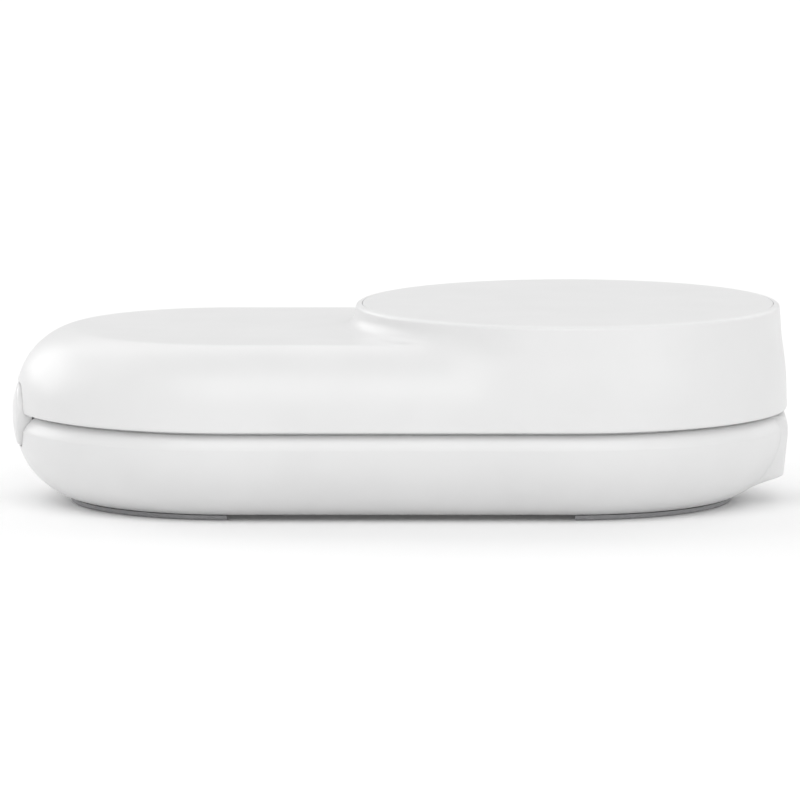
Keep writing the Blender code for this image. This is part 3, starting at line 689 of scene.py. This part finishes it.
def make_deck(look):
    """The cradle deck: a flange in the bowl, a raised rim and a pocket that clears the keys."""
    flange, spigot, pocket = 3.9, 4.4, 6.5  # how far each is in from the object's outline
    flange_top, top_z = 18.5, cad("cradle_deck")[1].z
    edge = list(rounded_edge((0.4, 0.4), 4))
    corner = list(rounded_edge((0.6, 0.6), 4))
    profile = [(flange, DECK_Z), (flange, flange_top), (spigot, flange_top)]
    profile += [(spigot + inward, top_z - down) for inward, down in edge[::-1]]
    profile += [(pocket - inward, top_z - down) for inward, down in edge]
    profile += [(pocket + inward, POCKET_Z + up) for inward, up in corner[::-1]]
    deck = loft("cradle", [at_height(stadium(inset), z) for inset, z in profile])
    cut(deck, wall_notch())
    boss_radius, boss_bottom_z, bore_top_z = 3.4, 5.3, 13.0
    for place in screw_places("base"):
        join(deck, rod("boss", boss_radius, boss_bottom_z, DECK_Z + FIT, place, 24))
        cut(deck, rod("bore", BORE_RADIUS, boss_bottom_z - FIT, bore_top_z, place, 24))
    pin_hole = [(1.55, DECK_Z - FIT), (1.55, POCKET_Z - 0.2), (2.0, POCKET_Z + FIT)]
    for side in ("left", "right"):
        cut(deck, lathe("pin_hole", pin_hole, plan_middle(f"charge_pin_{side}"), steps=32))
    post_x, post_radius, post_bottom_z = 20.0, 2.0, 9.65
    for x in (-post_x, post_x):
        join(deck, rod("post", post_radius, post_bottom_z, DECK_Z + FIT, (x, 0), 20))
    return piece(deck, "base", "cradle_deck", look)


def make_locator_button(look):
    """An oval cap with a rounded edge and a domed face, on a stem that reaches in to its switch."""
    tip_x = BUTTON_LOW.x
    cap_back_x = -75.5
    dome, dome_power = 1.2, 2.1
    edge_round, edge_span, edge_overlap = 0.6, 6.5, 0.12
    face_steps, face_crowding, face_scale = 14, 1.15, 0.966
    edge_x = tip_x + dome - edge_overlap
    rings = [button_ring(cap_back_x)]
    for inward, along in reversed(list(rounded_edge((edge_round, edge_round), 4))):
        rings.append(button_ring(edge_x + along, scale=1 - inward / edge_span))
    for i in range(1, face_steps):
        share = 1 - (i / face_steps) ** face_crowding
        rings.append(button_ring(tip_x + dome * share**dome_power, scale=share * face_scale))
    button = loft("locate_button", rings)
    stem_z = 14.3
    for name, x, radius, length in (("stem", -75.8, 1.5, 6.0), ("collar", -71.2, 2.1, 1.0)):
        join(button, lathe(name, [(radius, 0.0), (radius, length)], (x, 0, stem_z), "X", 24))
    return piece(button, "locator_button", "locator_button", look, angle=40)


def make_foot(side, look):
    """A half-moon pad. side is 1 at the drum's end and -1 at the button's end."""
    end = "rear" if side > 0 else "front"
    low, high = cad(f"{end}_foot")
    flat_x = low.x if side > 0 else high.x
    centre_x = DRUM_X if side > 0 else SLAB_X
    middle = 0 if side > 0 else 180
    reach = side * (flat_x - centre_x)
    edge_round, flat_share = 0.45, 0.4  # the flat side rounds in by less than the round side
    top_z = SHELL_Z - 0.05
    rings = []
    for inward, z in [*rounded_edge((edge_round, edge_round), 4), (0.0, top_z)]:
        radius = FOOT_RADIUS - inward
        half = math.degrees(math.acos((reach + inward * flat_share) / radius))
        rings.append(at_height(arc(centre_x, 0, radius, middle - half, middle + half, 96), z))
    return piece(loft(f"foot_pad_{end}", rings), "base", f"{end}_foot", look)


# ---- handset front

KEYS = ("1", "2", "3", "4", "5", "6", "7", "8", "9", "star", "0", "hash")
KEY_FLANGE = 0.8
KEY_FLANGE_THICKNESS = 0.6
KEY_GAP = 0.25
KEY_PILLOW = ((0.9, 0.0), (0.55, 0.05), (0.25, 0.2), (0.08, 0.42), (0.0, 0.7))  # (inset, up)
WINDOW_CORNER = 4.0
PLATE_TOP_Z = 22.1


def key_nodes():
    return [f"key_{key}" for key in KEYS] + ["talk_key", "end_key", "navigation_key"]


def key_face(node):
    """The middle and size of a key's face."""
    return plan_middle(node), [size - 2 * KEY_FLANGE for size in plan_size(node)]


def key_corner(node):
    size = key_face(node)[1]
    return size[0] / 2 - 0.05 if node == "navigation_key" else 3.0


def make_key(node, look):
    """A key with a pillowed face, and the flange that keeps it in."""
    low, high = cad(node)
    centre, size = key_face(node)
    corner = key_corner(node)
    outline = rounded_rectangle(centre, size, corner)
    wide = rounded_rectangle(centre, [s + 2 * KEY_FLANGE for s in size], corner + KEY_FLANGE)
    flange_z = high.z - KEY_FLANGE_THICKNESS
    rings = [at_height(outline(inset), low.z + up) for inset, up in KEY_PILLOW]
    rings.append(at_height(outline(0.0), flange_z))
    rings += [at_height(wide(0.0), z) for z in (flange_z, high.z)]
    made = loft(f"{node}_cap", rings)
    if node == "navigation_key":
        dish = [(3.2, low.z - 1.0), (3.0, low.z + 0.25)]
        cut(made, lathe("dish", dish, centre, steps=48))
    return piece(made, node, node, look)


def face_down(x, y, z):
    """Turns flat artwork so that it reads on the handset's face, which looks down with +X at its top."""
    columns = ((0, 1, 0), (1, 0, 0), (0, 0, -1))
    turned = Matrix(columns).transposed().to_4x4()
    turned.translation = Vector((x, y, z)) * MM
    return turned


def lettering(name, text, size, x, y, z):
    """Raised print on the handset's face."""
    font = bpy.data.curves.new(name, "FONT")
    font.body = text
    font.size = size * MM
    font.extrude = 0.02 * MM
    font.align_x = "CENTER"
    font.align_y = "CENTER"
    font.resolution_u = 6
    written = add_object(name, font)
    graph = bpy.context.evaluated_depsgraph_get()
    data = bpy.data.meshes.new_from_object(written.evaluated_get(graph))
    bpy.data.objects.remove(written)
    data.transform(face_down(x, y, z))
    made = add_object(name, data)
    weld(made)
    return made


def make_legends(look):
    signs = {"star": "*", "hash": "#"}
    height, star_drop = 6.0, 1.2  # a star sits high in its line of print
    for key in KEYS:
        node = f"key_{key}"
        x, y = plan_middle(node)
        if key == "star":
            x -= star_drop
        print_z = cad(node)[0].z + 0.005
        printed = lettering(f"legend_{key}", signs.get(key, key), height, x, y, print_z)
        piece(printed, node, [], look)


def handset_icon(name, centre, z, tilt):
    """A small handset symbol, a thick arched bar, turned by tilt degrees."""
    outer, inner, drop, steps = 3.6, 2.3, 1.6, 14
    outline = [*arc(0, -drop, outer, 150, 30, steps), *arc(0, -drop, inner, 30, 150, steps)]
    spin = Matrix.Rotation(math.radians(tilt), 2)
    points = [spin @ Vector(p) for p in outline]
    flat = [(centre[0] + p.y, centre[1] + p.x) for p in points]
    return prism(name, lambda inset: flat, z - 0.02, z + 0.02)


def make_call_icons(talk_look, end_look):
    for node, tilt, look in (("talk_key", 50, talk_look), ("end_key", 0, end_look)):
        icon = handset_icon(f"{node}_symbol", plan_middle(node), cad(node)[0].z, tilt)
        piece(icon, node, [], look)


def cut_key_holes(plate):
    low, high = cad("front_plate")
    chamfer = [(-0.3, low.z - 0.1), (-0.3, low.z), (0.0, low.z + 0.3), (0.0, high.z)]
    for node in key_nodes():
        centre, size = key_face(node)
        hole = [s + 2 * KEY_GAP for s in size]
        outline = rounded_rectangle(centre, hole, key_corner(node) + KEY_GAP)
        cut(plate, loft("key_hole", [at_height(outline(inset), z) for inset, z in chamfer]))


def cut_window_recess(plate):
    """A recess that the window sits in, and a smaller opening through to the display."""
    low, high = cad("front_plate")
    recess = rounded_rectangle(plan_middle("display_window"), plan_size("display_window"), WINDOW_CORNER)
    recess_top = cad("display_window")[1].z + 0.05
    clearance, ledge = 0.15, 2.5
    cut(plate, prism("recess", lambda inset: recess(inset - clearance), low.z - 1, recess_top))
    cut(plate, prism("view", lambda inset: recess(inset + ledge), low.z, high.z))


def cut_sound_holes(plate):
    """Slots over the earpiece, longest in the middle, and one hole over the microphone."""
    low, high = cad("front_plate")
    ear_x, voice_x = (plan_middle(node)[0] for node in ("earpiece", "microphone"))
    slot_width, slot_spacing = 1.1, 2.2
    for i, length in enumerate((5.0, 8.0, 9.0, 8.0, 5.0)):
        slot_x = ear_x + slot_spacing * (i - 2)
        slot = rounded_rectangle((slot_x, 0), (slot_width, length), 0.5)
        cut(plate, prism("ear_slot", slot, low.z - 1, high.z))
    voice_hole = [(1.0, low.z - 0.1), (0.7, low.z + 0.3), (0.7, high.z)]
    cut(plate, lathe("voice_hole", voice_hole, (voice_x, 0), steps=32))


def make_front_plate(look):
    """The handset's face, with its openings and the bosses that its screws bite into."""
    low, high = cad("front_plate")
    plate = prism("face", lambda inset: stadium(2.4 + inset), low.z, PLATE_TOP_Z, 0.25)
    cut(plate, wall_notch())
    cut_key_holes(plate)
    cut_window_recess(plate)
    cut_sound_holes(plate)
    pad_hole = [(3.2, low.z - 0.1), (2.85, low.z + 0.25), (2.85, high.z)]
    for side in ("left", "right"):
        cut(plate, lathe("pad_hole", pad_hole, plan_middle(f"charge_pad_{side}"), steps=40))
    boss_radius, boss_top_z, past_boss_z, bore_bottom_z = 3.0, 33.9, 35.0, 26.0
    for place in screw_places("handset"):
        join(plate, rod("boss", boss_radius, PLATE_TOP_Z - FIT, boss_top_z, place, 28))
        cut(plate, rod("bore", BORE_RADIUS, bore_bottom_z, past_boss_z, place, 20))
    return piece(plate, "handset", "front_plate", look)


def make_window(look, mask_look, display_look):
    """The clear window, and behind it the display's black frame with its glass sunk in."""
    low, high = cad("display_window")
    middle = plan_middle("display_window")
    outline = rounded_rectangle(middle, plan_size("display_window"), WINDOW_CORNER)
    piece(prism("window_pane", outline, low.z, high.z, 0.2), "handset", "display_window", look)
    low, high = cad("display_module")
    frame_box = box("display_frame", low, high, 0.3)
    view_size, sunk = (22.0, 42.0), 0.5
    view = rounded_rectangle(middle, view_size, 0.5)
    cut(frame_box, prism("view", view, low.z - 1, low.z + sunk))
    piece(frame_box, "handset", "display_module", mask_look)
    glass_outline = rounded_rectangle(middle, [s - 0.4 for s in view_size], 0.4)
    glass = prism("display_glass", glass_outline, low.z + 0.2, low.z + sunk - 0.02, 0.05)
    piece(glass, "handset", [], display_look)


def make_charge_metal(look):
    """Round-tipped pins in the base, and the flat pads that they press on in the handset."""
    for side in ("left", "right"):
        node = f"charge_pin_{side}"
        low, high = cad(node)
        radius, dome = 1.3, 0.9
        angles = (0, 0.3, 0.6, 0.9, 1.2, 1.5)
        tip = [(radius * math.cos(a), high.z - dome + dome * math.sin(a)) for a in angles]
        profile = [(radius, low.z), *tip, (NEAR_AXIS, high.z)]
        pin = lathe(f"spring_pin_{side}", profile, plan_middle(node), steps=32)
        piece(pin, node, node, look)
        node = f"charge_pad_{side}"
        low, high = cad(node)
        face_z = low.z + 0.12
        rim = [(2.0, face_z), (2.15, low.z), (2.45, low.z), (2.6, low.z + 0.15), (2.6, high.z)]
        profile = [(NEAR_AXIS, face_z), *rim, (NEAR_AXIS, high.z)]
        pad = lathe(f"contact_pad_{side}", profile, plan_middle(node), steps=40)
        piece(pad, "handset", node, look)


# ---- inside


def make_cells(sleeve_look, metal_look):
    """Round cells: a printed sleeve, a raised cap at one end and a flat base at the other."""
    for i in range(1, 4):
        node = f"battery_cell_{i}"
        low, high = cad(node)
        centre = (low + high) / 2
        half = (high.y - low.y) / 2
        r = (high.x - low.x) / 2 - 0.02
        sleeve = [(r - 0.7, 0.25 - half), (r - 0.15, 0.25 - half), (r, 0.5 - half), (r, half - 1.4)]
        sleeve += [(r - 0.15, half - 1.15), (r - 1.2, half - 1.15)]
        cap = [(1.7, half - 1.2), (1.7, half - 0.2), (1.5, half), (NEAR_AXIS, half)]
        base = [(r - 0.9, 0.3 - half), (r - 0.9, 0.02 - half), (NEAR_AXIS, 0.02 - half)]
        flip = -1 if i % 2 else 1
        for part, profile, steps in (("sleeve", sleeve, 64), ("cap", cap, 32), ("base", base, 32)):
            turned = [(radius, along * flip) for radius, along in profile]
            made = lathe(f"cell_{part}_{i}", turned, centre, "Y", steps)
            look, stands_for = (sleeve_look, node) if part == "sleeve" else (metal_look, [])
            piece(made, "handset", stands_for, look)


def make_tray(look, metal_look):
    """The cells' tray, with a sprung contact plate at each end of each cell."""
    low, high = cad("battery_tray")
    middle, size = plan_middle("battery_tray"), plan_size("battery_tray")
    tray = prism("cell_tray", rounded_rectangle(middle, size, 3.0), low.z, high.z, 0.2)
    inner_size = [s - 2 * TRAY_WALL for s in size]
    inner = rounded_rectangle(middle, inner_size, TRAY_INNER_CORNER)
    cut(tray, prism("inside", inner, low.z + TRAY_WALL, high.z + 1))
    piece(tray, "handset", "battery_tray", look)
    half_plate = Vector((4.0, 0.1, 4.0))
    for i in range(1, 4):
        cell_low, cell_high = cad(f"battery_cell_{i}")
        centre = (cell_low + cell_high) / 2
        for end, letter in ((-1, "a"), (1, "b")):
            centre.y = middle[1] + end * (size[1] / 2 - TRAY_WALL - 0.12)
            name = f"cell_contact_{i}_{letter}"
            plate = box(name, centre - half_plate, centre + half_plate, 0.05)
            piece(plate, "handset", [], metal_look)


def make_screws(look):
    """Cross-recessed screws. The base's heads face down and the handset's face up."""
    head = [(NEAR_AXIS, 0.0), (1.9, 0.0), (2.35, -0.2), (2.6, -0.6), (2.6, -1.5), (1.2, -1.5)]
    shaft = [(1.2, -9.5), (0.5, -10.4), (NEAR_AXIS, -10.5)]
    blade_length, blade_width, blade_depth = 1.5, 0.32, 0.8
    for kind, up in (("base", -1), ("handset", 1)):
        for i in range(1, 5):
            node = f"{kind}_screw_{i}"
            outer_z = cad(node)[1 if up > 0 else 0].z
            profile = [(r, outer_z + along * up) for r, along in head + shaft]
            screw = lathe(f"{node}_steel", profile, plan_middle(node), steps=32)
            top = Vector((*plan_middle(node), outer_z))
            for dx, dy in ((blade_length, blade_width), (blade_width, blade_length)):
                reach = Vector((dx, dy, blade_depth))
                cut(screw, box("blade", top - reach, top + reach, 0))
            piece(screw, kind, node, look)


def make_socket(look, gold_look):
    """A modular socket: a housing with a mouth and a latch slot, and six sprung wires inside."""
    low, high = cad("line_socket")
    housing = box("socket_housing", low, high, 0.2)
    bottom, top, half_width, latch_half = 7.7, 14.8, 5.1, 3.0
    back_x, past_front_x = 66.5, 90.0
    cut(housing, box("mouth", (back_x, -half_width, bottom), (past_front_x, half_width, top), 0))
    latch_corner = (past_front_x, latch_half, bottom + 0.2)
    cut(housing, box("latch", (back_x, -latch_half, bottom - 0.8), latch_corner, 0))
    piece(housing, "base", "line_socket", look)
    wires, spacing, wire_radius = 6, 1.02, 0.2
    bends = ((76.6, 0.25), (74.5, 0.45), (71.5, 2.2), (69.0, 3.9), (67.6, 4.6))  # (x, down from top)
    for i in range(wires):
        y = (i - (wires - 1) / 2) * spacing
        wire = tube(f"socket_wire_{i + 1}", [(x, y, top - down) for x, down in bends], wire_radius)
        piece(wire, "base", [], gold_look)


# ---- materials


class Look:
    """A material under construction, with its Principled shader and object-space coordinates."""

    def __init__(self, name, colour, roughness, **sockets):
        self.material = bpy.data.materials.new(name)
        self.material.use_nodes = True
        self.tree = self.material.node_tree
        self.shader = self.tree.nodes["Principled BSDF"]
        self.set("Base Color", (*colour, 1.0))
        self.set("Roughness", roughness)
        for socket, value in sockets.items():
            self.set(socket.replace("_", " "), value)
        self.space = self.add("ShaderNodeTexCoord").outputs["Object"]
        self.height = None

    def set(self, socket, value):
        self.shader.inputs[socket].default_value = value

    def add(self, kind, inputs=(), **settings):
        made = self.tree.nodes.new(kind)
        for key, value in settings.items():
            setattr(made, key, value)
        for socket, value in dict(inputs).items():
            if isinstance(value, bpy.types.NodeSocket):
                self.tree.links.new(value, made.inputs[socket])
            else:
                made.inputs[socket].default_value = value
        return made

    def noise(self, size, detail=3.0, stretch=None):
        """Noise with features of about this size, in millimetres."""
        space = self.space
        if stretch:
            space = self.add("ShaderNodeMapping", {"Vector": space, "Scale": stretch}).outputs[0]
        settings = {"Vector": space, "Scale": 1 / (size * MM), "Detail": detail}
        return self.add("ShaderNodeTexNoise", settings).outputs["Fac"]

    def ramp(self, value, low, high, to_low=0.0, to_high=1.0):
        settings = {"Value": value, "From Min": low, "From Max": high}
        settings.update({"To Min": to_low, "To Max": to_high})
        return self.add("ShaderNodeMapRange", settings).outputs[0]

    def blend(self, share, first, second):
        """Mixes two colours, each a socket or a tuple."""
        first, second = (c if isinstance(c, bpy.types.NodeSocket) else (*c, 1.0) for c in (first, second))
        share_index, first_index, second_index, result_index = 0, 6, 7, 2
        inputs = {share_index: share, first_index: first, second_index: second}
        return self.add("ShaderNodeMix", inputs, data_type="RGBA").outputs[result_index]

    def paint(self, colour):
        self.tree.links.new(colour, self.shader.inputs["Base Color"])

    def roughen(self, value):
        self.tree.links.new(value, self.shader.inputs["Roughness"])

    def bump(self, value, depth):
        """Adds relief of this depth, in millimetres."""
        inputs = {"Height": value, "Distance": depth * MM, "Strength": 1.0}
        made = self.add("ShaderNodeBump", inputs)
        if self.height:
            self.tree.links.new(self.height, made.inputs["Normal"])
        self.height = made.outputs["Normal"]
        self.tree.links.new(self.height, self.shader.inputs["Normal"])

    def edges(self):
        """1 on raised edges and 0 elsewhere."""
        pointed = self.add("ShaderNodeNewGeometry").outputs["Pointiness"]
        return self.ramp(pointed, 0.52, 0.6)


def scaled(colour, factor):
    return tuple(min(channel * factor, 1.0) for channel in colour)


def moulded(name, colour, roughness, grain=0.002, grain_size=0.3, edge_scuff_and_sheen=1.04):
    """Injection-moulded plastic: faint clouding, a fine grain, and raised edges painted lighter, partly
    scuff wear and partly a painted sheen.
    """
    look = Look(name, colour, roughness)
    cloud = look.ramp(look.noise(14.0, 2.0), 0.3, 0.7)
    fine = look.noise(grain_size, 2.0)
    tinted = look.blend(cloud, scaled(colour, 0.985), scaled(colour, 1.01))
    # raised edges lighter in colour: scuff wear, plus a painted sheen on the edges
    look.paint(look.blend(look.edges(), tinted, scaled(colour, edge_scuff_and_sheen)))
    look.roughen(look.ramp(look.noise(9.0, 1.0), 0.2, 0.8, roughness * 0.94, roughness * 1.06))
    look.bump(look.noise(3.0, 1.0), grain)
    look.bump(fine, grain * 0.6)
    return look.material


def rubber(name, colour, roughness=0.8):
    look = Look(name, colour, roughness)
    dust = look.ramp(look.noise(1.6, 6.0), 0.42, 0.72)
    look.paint(look.blend(dust, scaled(colour, 0.96), scaled(colour, 1.06)))
    look.roughen(look.ramp(look.noise(3.0, 3.0), 0.3, 0.7, roughness - 0.08, roughness + 0.1))
    look.bump(look.noise(0.35, 3.0), 0.02)
    return look.material


def metal(name, colour, roughness, stretch=None, depth=0.004):
    """Plated or rolled metal, with its grain along one axis when stretch says so."""
    look = Look(name, colour, roughness, Metallic=1.0)
    grain = look.noise(0.5, 4.0, stretch)
    look.paint(look.blend(grain, scaled(colour, 0.9), scaled(colour, 1.05)))
    look.roughen(look.ramp(grain, 0.3, 0.7, roughness * 0.8, roughness * 1.3))
    look.bump(grain, depth)
    return look.material


def board(name):
    """A circuit board: solder mask over copper tracks, with plated dots."""
    mask, track, pad = (0.012, 0.11, 0.045), (0.03, 0.19, 0.08), (0.75, 0.62, 0.35)
    look = Look(name, mask, 0.35)
    bricks = {"Scale": 260.0, "Mortar Size": 0.09, "Brick Width": 1.4, "Row Height": 0.6}
    brick = look.add("ShaderNodeTexBrick", {"Vector": look.space, **bricks})
    dots = look.add("ShaderNodeTexVoronoi", {"Vector": look.space, "Scale": 420.0, "Randomness": 0.8})
    spots = look.ramp(dots.outputs["Distance"], 0.1, 0.16, 1.0, 0.0)
    tracks = look.blend(brick.outputs["Fac"], mask, track)
    look.paint(look.blend(spots, tracks, pad))
    look.roughen(look.ramp(look.noise(4.0, 2.0), 0.3, 0.7, 0.28, 0.42))
    look.bump(brick.outputs["Fac"], 0.03)
    return look.material


def cell_sleeve(name):
    """A printed battery sleeve, with a pale band at one end."""
    green, band = (0.03, 0.17, 0.09), (0.55, 0.57, 0.52)
    look = Look(name, green, 0.3, Coat_Weight=0.5, Coat_Roughness=0.15)
    along = look.add("ShaderNodeSeparateXYZ", {"Vector": look.space}).outputs["Y"]
    band_from, blur = 12.0, 0.2
    ring = look.ramp(along, (band_from - blur) * MM, (band_from + blur) * MM)
    look.paint(look.blend(ring, green, band))
    look.roughen(look.ramp(look.noise(2.0, 4.0), 0.3, 0.7, 0.24, 0.38))
    look.bump(look.noise(1.0, 2.0), 0.006)
    return look.material


def display(name):
    """The reflective back of a plain liquid-crystal display, with its faint grid of dots."""
    base = (0.30, 0.34, 0.27)
    look = Look(name, base, 0.22, Specular_IOR_Level=0.6)
    squares = {"Scale": 2200.0, "Mortar Size": 0.06, "Brick Width": 1.0, "Row Height": 1.0}
    grid = look.add("ShaderNodeTexBrick", {"Vector": look.space, **squares}, offset=0.0)
    look.paint(look.blend(grid.outputs["Fac"], base, scaled(base, 0.9)))
    look.roughen(look.ramp(look.noise(8.0, 2.0), 0.3, 0.7, 0.18, 0.28))
    look.bump(look.noise(5.0, 1.0), 0.01)
    return look.material


def clear_window(name):
    """Clear acrylic with faint scuffs."""
    look = Look(name, (0.9, 0.92, 0.93), 0.05, Transmission_Weight=1.0, IOR=1.49)
    look.roughen(look.ramp(look.noise(3.0, 8.0), 0.45, 0.8, 0.02, 0.12))
    look.bump(look.noise(7.0, 1.0), 0.004)
    return look.material


def coat_cad_node(node, look):
    """Gives a CAD node that stays in view a finished material."""
    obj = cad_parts[node]
    obj.data.materials.clear()
    obj.data.materials.append(look)


# ---- stage, light and camera

CAMERA_DISTANCE = 2480.0
CAMERA_ELEVATION = 7.49  # degrees
SENSOR_WIDTH = 36.0
VIEW_WIDTH = 165.36  # how much the picture's width takes in at the object
AIM_X, AIM_Z = -0.2067, 20.57  # from the object's middle, and above the table
FLOOR_Z = -0.02  # just under the feet, so that the two don't flicker
FLOOR_WHITE = 0.93
FLOOR_GLOW = 0.03
WORLD_LIGHT = 0.6
LIGHTS = (  # name, where it is (m), its width and height (m), power (W); each looks at the object
    ("front_overhead", (0, -1.2, 1.4), (2.0, 1.2), 12.2),
    ("rear_overhead", (0, 1.2, 1.4), (2.0, 1.2), 5.6),
    ("high_left", (-1.1, 0.7, 1.3), (1.4, 1.4), 1.8),
    ("low_left", (-1.5, 1.3, 0.7), (1.6, 0.9), 9.6),
    ("front_right", (1.3, -1.4, 0.8), (1.4, 1.2), 3.6),
    ("rear_right", (1.3, 1.3, 0.8), (1.4, 1.2), 4.3),
)


def make_stage():
    half = 4.0
    corners = [(-half, -half, 0), (half, -half, 0), (half, half, 0), (-half, half, 0)]
    floor = bpy.data.meshes.new("floor")
    floor.from_pydata(corners, [], [(0, 1, 2, 3)])
    obj = add_object("floor", floor)
    obj.location.z = FLOOR_Z * MM
    pale = (FLOOR_WHITE,) * 3
    look = Look("pale_floor", pale, 0.9, Specular_IOR_Level=0.0)
    look.paint(look.blend(look.noise(900.0, 2.0), scaled(pale, 0.995), scaled(pale, 1.005)))
    look.set("Emission Color", (1.0, 1.0, 1.0, 1.0))
    look.set("Emission Strength", FLOOR_GLOW)
    floor.materials.append(look.material)


def make_lights():
    target = Vector((0, 0, AIM_Z * MM))
    for name, place, size, power in LIGHTS:
        data = bpy.data.lights.new(name, "AREA")
        data.shape = "RECTANGLE"
        data.size, data.size_y = size
        data.energy = power
        lamp = add_object(name, data)
        lamp.location = place
        lamp.rotation_euler = (target - Vector(place)).to_track_quat("-Z", "Y").to_euler()
    world = bpy.data.worlds.new("studio")
    bpy.context.scene.world = world
    world.use_nodes = True
    background = world.node_tree.nodes["Background"]
    background.inputs["Color"].default_value = (1.0, 1.0, 1.0, 1.0)
    background.inputs["Strength"].default_value = WORLD_LIGHT


def make_camera():
    data = bpy.data.cameras.new("camera")
    data.sensor_width = SENSOR_WIDTH
    data.lens = SENSOR_WIDTH * CAMERA_DISTANCE / VIEW_WIDTH
    data.clip_start, data.clip_end = 0.1, 20.0
    camera = add_object("camera", data)
    middle_x = (DRUM_X + SLAB_X) / 2
    elevation = math.radians(CAMERA_ELEVATION)
    back = Vector((0, -math.cos(elevation), math.sin(elevation)))
    camera.location = (Vector((middle_x, 0, SHELL_Z)) + back * CAMERA_DISTANCE) * MM
    aim = Vector((middle_x + AIM_X, 0, AIM_Z)) * MM - camera.location
    camera.rotation_euler = aim.to_track_quat("-Z", "Y").to_euler()
    bpy.context.scene.camera = camera


# ---- the whole object


def make_object():
    white = (0.80, 0.80, 0.80)
    casing = moulded("white_casing", white, 0.36)
    button = moulded("white_button", scaled(white, 0.99), 0.34)
    inner = moulded("white_inner", scaled(white, 0.97), 0.42, grain=0.006)
    keys = moulded("grey_keys", (0.62, 0.63, 0.65), 0.45, grain=0.008, grain_size=0.25)
    dark = moulded("black_plastic", (0.022, 0.022, 0.025), 0.45, grain=0.01, edge_scuff_and_sheen=1.8)
    print_look = moulded("grey_print", (0.05, 0.055, 0.06), 0.5, edge_scuff_and_sheen=1.0)
    green = moulded("green_print", (0.02, 0.25, 0.07), 0.5, edge_scuff_and_sheen=1.0)
    red = moulded("red_print", (0.42, 0.02, 0.02), 0.5, edge_scuff_and_sheen=1.0)
    feet = rubber("foot_rubber", (0.40, 0.40, 0.41))
    mat = rubber("mat_silicone", (0.30, 0.31, 0.32), 0.65)
    steel = metal("rolled_steel", (0.56, 0.56, 0.57), 0.3, (1.0, 12.0, 1.0))
    zinc = metal("zinc_plate", (0.60, 0.60, 0.62), 0.28)
    gold = metal("gold_plate", (0.83, 0.62, 0.28), 0.18, depth=0.002)
    make_handset_back(casing)
    make_battery_cover(casing)
    make_base_shell(casing)
    make_deck(inner)
    make_locator_button(button)
    make_foot(-1, feet)
    make_foot(1, feet)
    make_front_plate(casing)
    for node in key_nodes():
        make_key(node, keys)
    make_legends(print_look)
    make_call_icons(green, red)
    make_window(clear_window("window_acrylic"), dark, display("display_back"))
    make_charge_metal(gold)
    make_cells(cell_sleeve("battery_sleeve"), zinc)
    make_tray(dark, zinc)
    make_screws(zinc)
    make_socket(dark, gold)
    boards = board("circuit_board")
    kept = {
        "ballast_plate": steel,
        "base_board": boards,
        "handset_board": boards,
        "base_radio_shield": zinc,
        "handset_radio_shield": zinc,
        "charge_contact_block": dark,
        "locator_switch": dark,
        "earpiece": dark,
        "microphone": zinc,
        "keypad_mat": mat,
    }
    for node, look in kept.items():
        coat_cad_node(node, look)


make_object()
make_stage()
make_lights()
make_camera()
bpy.context.scene.view_settings.view_transform = "Standard"
